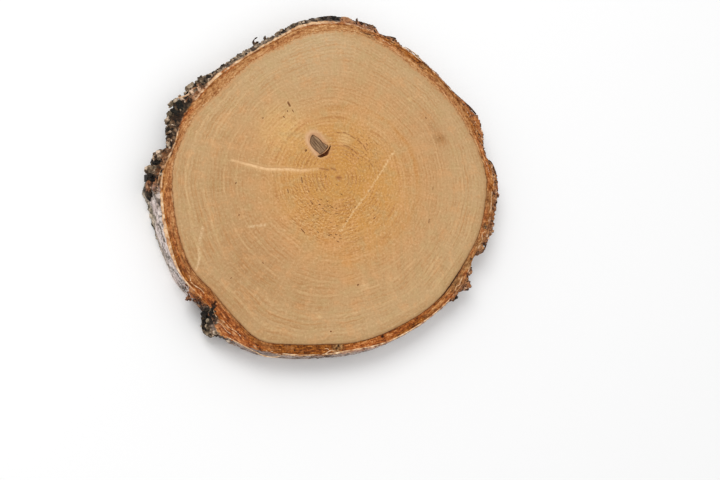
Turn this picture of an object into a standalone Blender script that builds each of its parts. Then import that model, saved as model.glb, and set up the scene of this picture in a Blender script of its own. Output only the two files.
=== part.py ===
"""Birch wood slice: a disc sawn across a birch trunk, with its bark left on.

The slice lies on its lower sawn face. The origin is where the pith meets that face, +Z points up
through the pith, and the knot lies at -X, +Y. Wood, inner bark and outer bark grew as one piece,
so the slice is one closed solid. Sizes here are in millimetres and angles in degrees from +X
towards +Y; the mesh is scaled to metres where its points are made.
"""
import math

import bmesh
import bpy
from mathutils import Vector, noise

MM = 0.001

# The sawn disc
THICKNESS = 18.0

# The trunk's cross-section on the upper sawn face, every ten degrees
WOOD_RADII = (
    108.0, 106.4, 104.3, 103.4, 102.4, 101.6, 102.2, 102.6, 103.0,
    101.2, 98.4, 94.9, 94.3, 93.9, 94.3, 96.0, 102.6, 106.2,
    111.0, 113.1, 115.8, 118.0, 116.3, 118.7, 121.5, 115.4, 110.6,
    108.6, 106.2, 104.2, 103.6, 103.2, 102.2, 102.9, 105.0, 106.2,
)
INNER_BARK_WIDTHS = (
    5.0, 3.4, 4.0, 5.4, 5.0, 5.4, 4.8, 4.4, 5.0,
    5.1, 5.9, 5.8, 5.4, 6.3, 8.2, 8.8, 6.2, 4.2,
    6.2, 6.7, 6.6, 7.8, 7.6, 7.2, 5.0, 6.4, 6.2,
    4.2, 5.2, 5.5, 5.0, 5.3, 6.4, 3.6, 3.8, 4.8,
)
OUTER_BARK_WIDTHS = (
    2.8, 1.0, 6.0, 1.9, 1.0, 1.4, 1.2, 1.6, 3.6,
    5.0, 4.1, 3.0, 2.8, 3.2, 3.8, 6.2, 6.6, 4.8,
    5.6, 3.9, 2.8, 1.2, 2.6, 6.2, 2.0, 1.4, 1.6,
    2.4, 1.5, 1.2, 1.2, 1.2, 2.4, 0.7, 4.4, 3.8,
)
THINNEST_OUTER_BARK = 0.5

# How far the lower face's edge stands outside the upper one's, every fifteen degrees
LOWER_EDGE_FLARE = (
    0.2, 0.0, -0.4, -0.4, -0.4, -0.3, 0.2, 0.4,
    0.6, 0.4, 0.6, -1.6, 2.0, 0.4, -1.6, -3.4,
    -2.2, -1.4, -0.6, -0.2, 0.0, 0.3, 0.4, 0.4,
)
WALL_BULGE = 0.5

# Where the outer bark stands out or is missing: angle, half width, height
BARK_LUMPS = (
    (6.0, 2.4, 1.5),
    (16.5, 1.5, 0.9),
    (23.0, 3.0, 1.8),
    (56.5, 2.0, 0.5),
    (64.0, 3.0, 2.3),
    (72.2, 2.6, 2.6),
    (78.0, 1.6, 1.2),
    (86.5, 3.5, 0.3),
    (145.0, 2.2, 2.0),
    (149.0, 1.6, 1.4),
    (156.2, 3.0, 2.8),
    (162.5, 2.0, 1.2),
    (168.5, 2.6, -1.8),
    (173.8, 2.4, 2.6),
    (178.5, 1.6, 1.6),
    (183.5, 3.0, 2.0),
    (217.5, 1.6, 1.2),
    (221.8, 1.8, -2.4),
    (313.5, 1.4, 1.0),
    (320.5, 1.8, 4.2),
    (325.0, 1.8, 2.0),
    (330.5, 2.4, -0.8),
    (334.5, 2.0, 2.6),
    (338.0, 2.4, 1.0),
    (342.0, 1.6, 1.6),
    (355.0, 1.8, 1.0),
)

# The round burr on the bark's wall
BURR_ANGLE = 226.0
BURR_HALF_ANGLE = 4.0
BURR_LEVEL = 7.5
BURR_HALF_LEVEL = 10.0
BURR_HEIGHT = 6.2

# The bark's surface by stretch: first angle, last angle, depth of its fissures, width of its plates
BARK_STRETCHES = (
    (28.0, 86.0, 0.5, 9.0),
    (86.0, 139.0, 0.7, 5.0),
    (139.0, 184.0, 2.0, 8.0),
    (184.0, 217.0, 0.4, 12.0),
    (217.0, 234.0, 1.6, 7.0),
    (234.0, 270.0, 0.6, 9.0),
    (270.0, 311.0, 0.3, 12.0),
    (311.0, 331.0, 1.1, 6.0),
    (331.0, 388.0, 1.1, 7.0),
)
STRETCH_FADE = 4.0

# Share of the fissures' depth that is left at the sawn edges, and how far up the wall they keep it
FISSURE_AT_EDGE = 0.35
FISSURE_REACH = 11.2

# The rings between the wood and the bark's outside on a sawn face
CAMBIUM_WIDTH = 0.9
CAMBIUM_DEPTH = 0.5
INNER_BARK_DROP = 0.25
CORK_DROP = 0.35
GRAIN_HEIGHT = 0.5
GRAIN_PITCH = 3.5
EDGE_ROUND = 0.7
EDGE_DROP = 0.15

# The dead branch stub that the saw cut across, and the gap where it came loose, as points X, Y
KNOT_OUTLINE = (
    (-16.2, 28.6), (-18.2, 25.0), (-18.2, 22.0), (-16.6, 19.0), (-14.0, 17.4), (-12.2, 15.6),
    (-9.4, 16.8), (-5.4, 21.4), (-9.2, 24.6), (-12.4, 27.6),
)
KNOT_SINK = 0.5
KNOT_TAPER = 0.94
GAP_OUTLINE = (
    (-3.2, 22.9), (-5.0, 20.6), (-6.6, 17.8), (-9.0, 16.0), (-12.0, 14.6), (-14.2, 14.0),
    (-13.0, 13.0), (-11.4, 12.6), (-8.8, 13.4), (-6.4, 14.4), (-5.0, 16.0), (-4.0, 19.8),
)
GAP_DEPTH = 5.0
GAP_TAPER = 0.75
CUTTER_CLEARANCE = 2.0

# Mesh resolution
ANGLE_STEPS = 240
WALL_ROWS = 10


def around(values, angle):
    """Value at an angle, on a smooth closed curve through evenly spaced values."""
    count = len(values)
    position = (angle % 360.0) / 360.0 * count
    index = int(position)
    t = position - index
    before, start, end, after = (values[(index + k) % count] for k in (-1, 0, 1, 2))
    slope = (end - before) / 2
    curve = before - 2.5 * start + 2 * end - 0.5 * after
    twist = 1.5 * (start - end) + 0.5 * (after - before)
    return start + t * (slope + t * (curve + t * twist))


def angle_between(angle, centre):
    """Signed difference of two angles, from -180 to 180."""
    return (angle - centre + 180.0) % 360.0 - 180.0


def hump(distance, half_width):
    """Smooth hump: 1 at distance 0, and 0 from the half width on."""
    share = min(abs(distance) / half_width, 1.0)
    return (1.0 - share * share) ** 2


def point_at(angle, radius, height):
    turn = math.radians(angle)
    return Vector((radius * math.cos(turn), radius * math.sin(turn), height))


def wood_radius(angle):
    return around(WOOD_RADII, angle)


def inner_bark_radius(angle):
    return wood_radius(angle) + around(INNER_BARK_WIDTHS, angle)


def edge_radius(angle):
    """Radius of the bark's outside at the upper face."""
    lumps = sum(height * hump(angle_between(angle, centre), width) for centre, width, height in BARK_LUMPS)
    outer = max(around(OUTER_BARK_WIDTHS, angle) + lumps, THINNEST_OUTER_BARK)
    return inner_bark_radius(angle) + outer


def bark_surface(angle):
    """Fissure depth and plate width at an angle, faded from one stretch of bark to the next."""
    weights = depth = width = 0.0
    for start, end, stretch_depth, stretch_width in BARK_STRETCHES:
        outside = abs(angle_between(angle, (start + end) / 2)) - (end - start) / 2
        weight = min(max(0.5 - outside / STRETCH_FADE, 0.0), 1.0)
        weights += weight
        depth += weight * stretch_depth
        width += weight * stretch_width
    return depth / weights, width / weights


def bark_relief(angle, height):
    """Plates and fissures: how far the wall stands out of its smooth form, or in from it."""
    depth, width = bark_surface(angle)
    point = point_at(angle, edge_radius(angle), height)
    near, next_near = noise.voronoi(point / width)[0][:2]
    plate = min((next_near - near) * 2.5, 1.0)
    swell = noise.noise(point / (2 * width))
    reach = hump(height - THICKNESS / 2, FISSURE_REACH)
    kept = FISSURE_AT_EDGE + (1.0 - FISSURE_AT_EDGE) * reach
    return kept * depth * (plate - 0.8 + 0.7 * swell)


def wall_radius(angle, height):
    """Radius of the bark's outside at a height above the lower face."""
    depth_share = 1.0 - height / THICKNESS
    flare = around(LOWER_EDGE_FLARE, angle) * depth_share
    bulge = WALL_BULGE * math.sin(math.pi * depth_share)
    burr = BURR_HEIGHT * hump(angle_between(angle, BURR_ANGLE), BURR_HALF_ANGLE)
    burr *= hump(height - BURR_LEVEL, BURR_HALF_LEVEL)
    radius = edge_radius(angle) + flare + bulge + burr + bark_relief(angle, height)
    return max(radius, inner_bark_radius(angle) + THINNEST_OUTER_BARK)


def grain(angle, radius, side):
    """Roughness of sawn bark, from 0 to the grain height."""
    return GRAIN_HEIGHT * abs(noise.noise(point_at(angle, radius, side * THICKNESS) / GRAIN_PITCH))


def face_rings(angle, side):
    """Points across the bark on a sawn face, from the wood out. The side is 1 above and 0 below."""
    wood = wood_radius(angle)
    cork = inner_bark_radius(angle)
    bark_start = wood + CAMBIUM_WIDTH
    rings = [
        (wood, 0.0),
        (wood + CAMBIUM_WIDTH / 2, CAMBIUM_DEPTH),
        (bark_start, INNER_BARK_DROP + grain(angle, bark_start, side)),
        (cork, CORK_DROP + grain(angle, cork, side)),
    ]
    if side:
        middle = (bark_start + cork) / 2
        rings.insert(3, (middle, INNER_BARK_DROP / 2 + grain(angle, middle, side)))
    return [(radius, THICKNESS - drop if side else drop) for radius, drop in rings]


def wall_rings(angle):
    """Points down the bark's wall, from the upper sawn edge to the lower one."""
    rings = []
    for row in range(WALL_ROWS):
        height = THICKNESS * (1.0 - row / (WALL_ROWS - 1))
        radius = wall_radius(angle, height)
        if row in (0, WALL_ROWS - 1):
            radius = max(radius - EDGE_ROUND, inner_bark_radius(angle) + THINNEST_OUTER_BARK / 2)
        rings.append((radius, height - EDGE_DROP if row == 0 else height))
    return rings


def link_object(name, mesh):
    """A new object from a bmesh, with its faces pointing out and its points scaled to metres."""
    bmesh.ops.recalc_face_normals(mesh, faces=mesh.faces)
    bmesh.ops.scale(mesh, vec=(MM, MM, MM), verts=mesh.verts)
    data = bpy.data.meshes.new(name)
    mesh.to_mesh(data)
    mesh.free()
    thing = bpy.data.objects.new(name, data)
    bpy.context.scene.collection.objects.link(thing)
    return thing


def add_slice(materials):
    """The slice: rings of points joined by bands of faces, with a flat cap on each face of the wood."""
    mesh = bmesh.new()
    columns = []
    for step in range(ANGLE_STEPS):
        angle = 360.0 * step / ANGLE_STEPS
        upper = face_rings(angle, side=1)
        lower = face_rings(angle, side=0)
        path = upper + wall_rings(angle) + lower[::-1]
        columns.append([mesh.verts.new(point_at(angle, radius, height)) for radius, height in path])

    wall_start = len(upper) - 1
    for step, column in enumerate(columns):
        following = columns[(step + 1) % ANGLE_STEPS]
        for row in range(len(column) - 1):
            face = mesh.faces.new((column[row], column[row + 1], following[row + 1], following[row]))
            on_wall = wall_start <= row <= wall_start + WALL_ROWS
            face.material_index = list(materials).index("outer_bark" if on_wall else "inner_bark")

    mesh.faces.new([column[0] for column in columns])
    mesh.faces.new([column[-1] for column in reversed(columns)])
    thing = link_object("birch_slice", mesh)
    for material in materials.values():
        thing.data.materials.append(material)
    return thing


def add_cutter(name, outline, depth, taper, material):
    """A guide that cuts a pocket into the upper face, its floor drawn in by the taper."""
    centre = sum((Vector(point) for point in outline), Vector((0.0, 0.0))) / len(outline)
    mesh = bmesh.new()
    floor = []
    top = []
    for corner in outline:
        x, y = centre + (Vector(corner) - centre) * taper
        floor.append(mesh.verts.new((x, y, THICKNESS - depth)))
        top.append(mesh.verts.new((*corner, THICKNESS + CUTTER_CLEARANCE)))
    for k in range(len(outline)):
        following = (k + 1) % len(outline)
        mesh.faces.new((floor[k], floor[following], top[following], top[k]))
    mesh.faces.new(floor[::-1])
    mesh.faces.new(top)
    cutter = link_object(name, mesh)
    cutter.data.materials.append(material)
    cutter.hide_render = True
    cutter.display_type = "WIRE"
    return cutter


def cut(thing, cutter):
    modifier = thing.modifiers.new(cutter.name, "BOOLEAN")
    modifier.operation = "DIFFERENCE"
    modifier.solver = "EXACT"
    modifier.object = cutter


def add_material(name, colour, roughness):
    material = bpy.data.materials.new(name)
    material.use_nodes = True
    shader = material.node_tree.nodes["Principled BSDF"]
    shader.inputs["Base Color"].default_value = (*colour, 1.0)
    shader.inputs["Roughness"].default_value = roughness
    shader.inputs["Metallic"].default_value = 0.0
    return material


def clear_scene():
    for thing in list(bpy.data.objects):
        bpy.data.objects.remove(thing, do_unlink=True)


def main():
    clear_scene()
    materials = {
        "wood": add_material("wood", (0.58, 0.38, 0.19), 0.6),
        "inner_bark": add_material("inner_bark", (0.44, 0.14, 0.04), 0.8),
        "outer_bark": add_material("outer_bark", (0.36, 0.31, 0.27), 0.85),
        "knot": add_material("knot", (0.24, 0.13, 0.06), 0.8),
    }
    birch_slice = add_slice(materials)
    cut(birch_slice, add_cutter("knot_recess", KNOT_OUTLINE, KNOT_SINK, KNOT_TAPER, materials["knot"]))
    cut(birch_slice, add_cutter("knot_gap", GAP_OUTLINE, GAP_DEPTH, GAP_TAPER, materials["knot"]))


main()
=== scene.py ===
"""Birch wood slice: the looks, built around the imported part.

The slice lies on its lower sawn face. The origin is where the pith meets that face and +Z points up
through the pith, as in the part's own source. Sizes here are in millimetres and angles in degrees
from +X towards +Y; meshes are scaled to metres where they are made.
"""

import functools
import math
import random

import bmesh
import bpy
from mathutils import Euler, Matrix, Vector
from mathutils.noise import noise, voronoi


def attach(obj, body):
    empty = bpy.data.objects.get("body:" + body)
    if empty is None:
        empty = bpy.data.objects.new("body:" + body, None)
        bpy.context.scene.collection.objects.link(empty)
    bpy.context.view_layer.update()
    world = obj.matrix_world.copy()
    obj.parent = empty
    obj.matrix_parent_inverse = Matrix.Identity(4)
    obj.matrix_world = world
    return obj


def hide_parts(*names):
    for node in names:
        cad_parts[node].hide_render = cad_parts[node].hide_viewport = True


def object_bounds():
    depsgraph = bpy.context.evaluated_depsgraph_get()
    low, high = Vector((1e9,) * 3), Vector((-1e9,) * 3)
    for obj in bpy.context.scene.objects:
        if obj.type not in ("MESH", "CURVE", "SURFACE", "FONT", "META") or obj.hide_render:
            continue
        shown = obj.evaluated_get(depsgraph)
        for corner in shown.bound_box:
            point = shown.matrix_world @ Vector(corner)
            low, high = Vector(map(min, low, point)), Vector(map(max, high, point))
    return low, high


MM = 0.001
NODE = "birch_slice"

# The slice's form, with the same outline as in the part's source
THICKNESS = 18.0
WOOD_RADII = (
    108.0, 106.4, 104.3, 103.4, 102.4, 101.6, 102.2, 102.6, 103.0,
    101.2, 98.4, 94.9, 94.3, 93.9, 94.3, 96.0, 102.6, 106.2,
    111.0, 113.1, 115.8, 118.0, 116.3, 118.7, 121.5, 115.4, 110.6,
    108.6, 106.2, 104.2, 103.6, 103.2, 102.2, 102.9, 105.0, 106.2,
)
MEAN_WOOD_RADIUS = sum(WOOD_RADII) / len(WOOD_RADII)
INNER_BARK_WIDTHS = (
    5.0, 3.4, 4.0, 5.4, 5.0, 5.4, 4.8, 4.4, 5.0,
    5.1, 5.9, 5.4, 4.5, 5.2, 7.4, 8.8, 6.2, 4.2,
    6.2, 6.7, 6.6, 7.8, 7.6, 7.2, 5.0, 6.4, 6.2,
    4.2, 5.2, 5.5, 5.0, 5.3, 6.4, 3.6, 3.8, 4.8,
)
OUTER_BARK_WIDTHS = (
    2.8, 1.0, 6.0, 1.9, 1.0, 1.4, 1.2, 1.6, 3.6,
    5.0, 4.1, 3.4, 3.7, 4.3, 4.6, 6.2, 6.6, 4.8,
    5.6, 3.9, 2.8, 1.2, 2.6, 6.2, 2.0, 1.4, 1.6,
    2.4, 1.5, 1.2, 1.2, 1.2, 2.4, 0.7, 4.4, 3.8,
)
THINNEST_OUTER_BARK = 0.5
LOWER_EDGE_FLARE = (
    0.2, 0.0, -0.4, -0.4, -0.4, -0.3, 0.2, 0.4,
    0.6, 0.4, 0.6, -1.6, 2.0, 0.4, -1.6, -3.4,
    -2.2, -1.4, -0.6, -0.2, 0.0, 0.3, 0.4, 0.4,
)
WALL_BULGE = 0.5

# Where the outer bark stands out or is missing: angle, half width, height
BARK_LUMPS = (
    (6.0, 2.4, 1.5),
    (16.5, 1.5, 0.9),
    (23.0, 3.0, 1.8),
    (56.5, 2.0, 0.5),
    (64.0, 3.0, 2.3),
    (72.2, 2.6, 2.6),
    (78.0, 1.6, 1.2),
    (86.5, 3.5, 0.3),
    (145.0, 2.2, 2.0),
    (149.0, 1.6, 1.4),
    (156.2, 3.0, 2.8),
    (162.5, 2.0, 1.2),
    (168.5, 2.6, -1.8),
    (173.8, 2.4, 2.6),
    (178.5, 1.6, 1.6),
    (183.5, 3.0, 2.0),
    (217.5, 1.6, 1.2),
    (221.8, 1.8, -2.4),
    (313.5, 1.4, 1.0),
    (320.5, 1.8, 4.2),
    (325.0, 1.8, 2.0),
    (330.5, 2.4, -0.8),
    (334.5, 2.0, 2.6),
    (338.0, 2.4, 1.0),
    (342.0, 1.6, 1.6),
    (355.0, 1.8, 1.0),
)

# Where the seam round the wood, and the bark's upper edge, stray from that form, in the same way
SEAM_STRAYS = (
    (50.0, 30.0, -2.2),
    (152.0, 14.0, 2.0),
    (171.0, 11.0, 1.5),
)
EDGE_STRAYS = (
    (2.0, 8.0, 1.4),
    (20.6, 3.0, 0.9),
    (26.0, 2.6, 1.4),
    (29.4, 4.5, 1.5),
    (42.0, 12.0, 0.6),
    (75.0, 2.4, 1.0),
    (82.6, 3.0, 1.3),
    (216.2, 2.6, 3.2),
    (229.6, 3.0, 2.0),
)

# The round burr on the bark's wall
BURR_ANGLE = 226.0
BURR_HALF_ANGLE = 4.0
BURR_LEVEL = 7.5
BURR_HALF_LEVEL = 10.0
BURR_HEIGHT = 6.2
BURR_WARMTH = 0.15

# The bark's wall by stretch: first angle, last angle, depth of its fissures, width of its plates, then
# from 0 to 1 how papery, how warm brown and how light it is
BARK_STRETCHES = (
    (28.0, 86.0, 0.5, 9.0, 0.4, 0.6, 0.5),
    (86.0, 139.0, 0.7, 5.0, 0.1, 0.15, 0.54),
    (139.0, 184.0, 2.0, 8.0, 0.0, 0.15, 0.36),
    (184.0, 217.0, 0.4, 12.0, 1.0, 0.0, 0.7),
    (217.0, 234.0, 1.6, 7.0, 0.15, 0.35, 0.38),
    # These two stretches are painted greyer, browner and darker than the white bark beside them: painted
    # shade, for a wall in shadow
    (234.0, 270.0, 0.6, 9.0, 0.5, 0.5, 0.42),
    (270.0, 311.0, 0.3, 12.0, 0.6, 0.45, 0.48),
    (311.0, 331.0, 1.1, 6.0, 0.1, 0.8, 0.45),
    (331.0, 388.0, 1.1, 7.0, 0.0, 0.7, 0.5),
)
STRETCH_FADE = 4.0
FISSURE_AT_EDGE = 0.35
FISSURE_REACH = 11.2

# The fine plates of the bark: widths, how steeply they rise from the cracks, and what scatters their tones
RUGGED_PLATE_WIDTH = 3.2
PAPERY_PLATE_WIDTH = 5.0
SAWN_PLATE_WIDTH = 2.2
CHUNK_PLATE_WIDTH = 2.6
CRACK_STEEPNESS = 2.5
PLATE_SCATTER = 5.3

# The outer bark on the sawn face by stretch: first angle, last angle, then from 0 to 1 how fleshy
# like the inner bark, how warm brown, how light, and how clear its pale cork line
FACE_STRETCHES = (
    (8.0, 32.0, 0.85, 0.8, 0.5, 0.0),
    (32.0, 50.0, 0.3, 0.7, 0.5, 0.35),
    (50.0, 60.0, 0.1, 0.4, 0.75, 0.7),
    (60.0, 71.0, 0.6, 0.7, 0.4, 0.2),
    (71.0, 85.0, 0.55, 0.75, 0.5, 0.15),
    (85.0, 92.0, 0.0, 0.2, 0.12, 0.9),
    (92.0, 139.0, 0.0, 0.2, 0.5, 0.75),
    (139.0, 147.0, 0.1, 0.35, 0.46, 0.7),
    (147.0, 153.0, 0.35, 0.6, 0.6, 0.6),
    (153.0, 161.0, 0.05, 0.1, 0.14, 0.35),
    (161.0, 171.0, 0.1, 0.25, 0.34, 0.35),
    (171.0, 179.0, 0.25, 0.6, 0.38, 0.4),
    (179.0, 185.0, 0.2, 0.75, 0.38, 0.7),
    (185.0, 214.0, 0.0, 0.1, 0.62, 0.8),
    (214.0, 222.0, 0.75, 0.8, 0.3, 0.2),
    (222.0, 226.8, 0.2, 0.3, 0.42, 0.0),
    (226.8, 247.0, 0.95, 0.9, 0.5, 0.1),
    (247.0, 311.0, 0.25, 0.7, 0.55, 0.85),
    (311.0, 332.0, 0.7, 0.8, 0.5, 0.2),
    (332.0, 368.0, 0.6, 0.75, 0.5, 0.1),
)
FACE_FADE = 2.0

# Width of the pale cork layer between inner and outer bark, every ten degrees
CORK_WIDTHS = (
    0.6, 0.6, 0.6, 0.5, 0.5, 0.6, 0.5, 0.4, 0.6,
    1.9, 1.7, 1.1, 1.0, 1.2, 1.8, 1.0, 0.5, 0.6,
    0.9, 1.5, 2.1, 1.7, 0.6, 0.6, 0.6, 0.7, 0.6,
    0.6, 0.7, 0.7, 0.8, 0.7, 0.5, 0.5, 0.6, 0.6,
)

# How light the inner bark is beside the wood and beside the cork, every thirty degrees: 0 is dark, 1 is
# pale, and a value beyond them leaves less room for patches
INNER_LIGHT_BY_WOOD = (0.2, 1.15, 1.05, 0.95, 1.0, 1.0, 1.0, 0.5, 0.25, -0.35, 0.0, 0.45)
INNER_LIGHT_BY_CORK = (0.18, 0.3, 0.12, 0.5, 0.4, 0.4, 0.4, 0.12, 0.2, -0.3, 0.15, 0.42)

# The darker, redder streak in the middle of the inner bark
STREAK_ANGLE = 52.0
STREAK_HALF_ANGLE = 14.0
STREAK_ACROSS = 0.62
STREAK_HALF_WIDTH = 0.28
STREAK_STRENGTH = 0.45

# The open line between wood and inner bark, and the drying gap where it is wider
SEAM_WIDTH = 0.08
SEAM_DEPTH = 0.5
RAGGEDNESS = 1.4
DRYING_GAP_ANGLE = 317.0
DRYING_GAP_HALF_ANGLE = 13.0
DRYING_GAP_WIDTH = 0.7

# Where the white bark is worn off the lower part of the wall
WORN_ANGLE = 192.0
WORN_HALF_ANGLE = 18.0
WORN_HEIGHT = 8.0

# Small holes in the sawn bark: angle, radius, half width, depth
PITS = (
    (222.4, 119.8, 1.2, 1.0),
    (222.6, 121.8, 1.7, 2.0),
    (223.4, 124.8, 1.8, 3.0),
    (251.0, 118.6, 0.6, 0.7),
    (264.6, 112.4, 0.7, 0.9),
    (265.4, 110.6, 0.8, 1.1),
    (267.0, 110.2, 0.6, 0.8),
    (281.8, 107.3, 1.1, 1.6),
)

# Where the sawn bark is dull brown: angle, radius, reach, strength from 0 to 1
DULL_SPOTS = (
    (8.0, 106.5, 5.0, 0.4),
    (49.0, 107.0, 4.0, 0.6),
    (73.0, 103.4, 5.0, 0.5),
    (265.0, 111.5, 5.0, 1.0),
    (318.0, 105.5, 10.0, 0.75),
    (327.0, 105.5, 7.0, 0.7),
    (336.0, 105.0, 8.0, 0.5),
    (342.8, 108.4, 2.6, 1.0),
    (353.0, 107.5, 9.0, 0.5),
)

# Relief of the sawn bark
INNER_BARK_DROP = 0.15
GRAIN_HEIGHT = 0.4
GRAIN_PITCH = 1.3
CORK_DROP = 0.1
CRUMBLE_DEPTH = 1.1
EDGE_ROUND = 0.5
WOOD_BEVEL = 0.15
BARK_OVERLAP = 0.2

# The dead branch stub, and the gap where it came loose, as points X, Y
KNOT_OUTLINE = (
    (-15.9, 29.0), (-17.3, 27.5), (-18.2, 25.3), (-18.4, 23.4), (-17.8, 21.5), (-16.6, 19.8),
    (-15.2, 18.3), (-13.3, 16.9), (-11.9, 15.6), (-9.5, 16.9), (-7.4, 18.7), (-5.4, 21.4),
    (-7.5, 22.8), (-9.2, 23.9), (-10.9, 25.9), (-13.2, 27.6),
)
KNOT_GRAIN = (0.62, -0.78)
KNOT_SINK = 0.5
KNOT_HOLE_DEPTH = 4.0
KNOT_HOLE_TAPER = 0.96
KNOT_CLEARANCE = 0.2
KNOT_HALF_WIDTH = 7.0
KNOT_LIP_PLACE = 6.6
KNOT_LIP_HALF_WIDTH = 1.5
KNOT_ROWS = 16
GAP_OUTLINE = (
    (-3.2, 22.7), (-4.7, 21.4), (-6.0, 19.4), (-7.7, 17.9), (-9.8, 16.5), (-12.4, 15.2),
    (-14.4, 14.2), (-13.4, 13.4), (-11.8, 13.1), (-9.3, 14.0), (-6.8, 14.9), (-5.6, 16.2),
    (-4.8, 18.4), (-3.7, 20.5),
)
GAP_DEPTH = 3.2
GAP_TAPER = 0.72

# The stub's section from its foot up to its flat top: share of its outline, height over the top
KNOT_LEVELS = ((1.0, -3.0), (1.0, -1.2), (0.99, -0.35), (0.95, -0.1), (0.88, 0.0))

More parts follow.
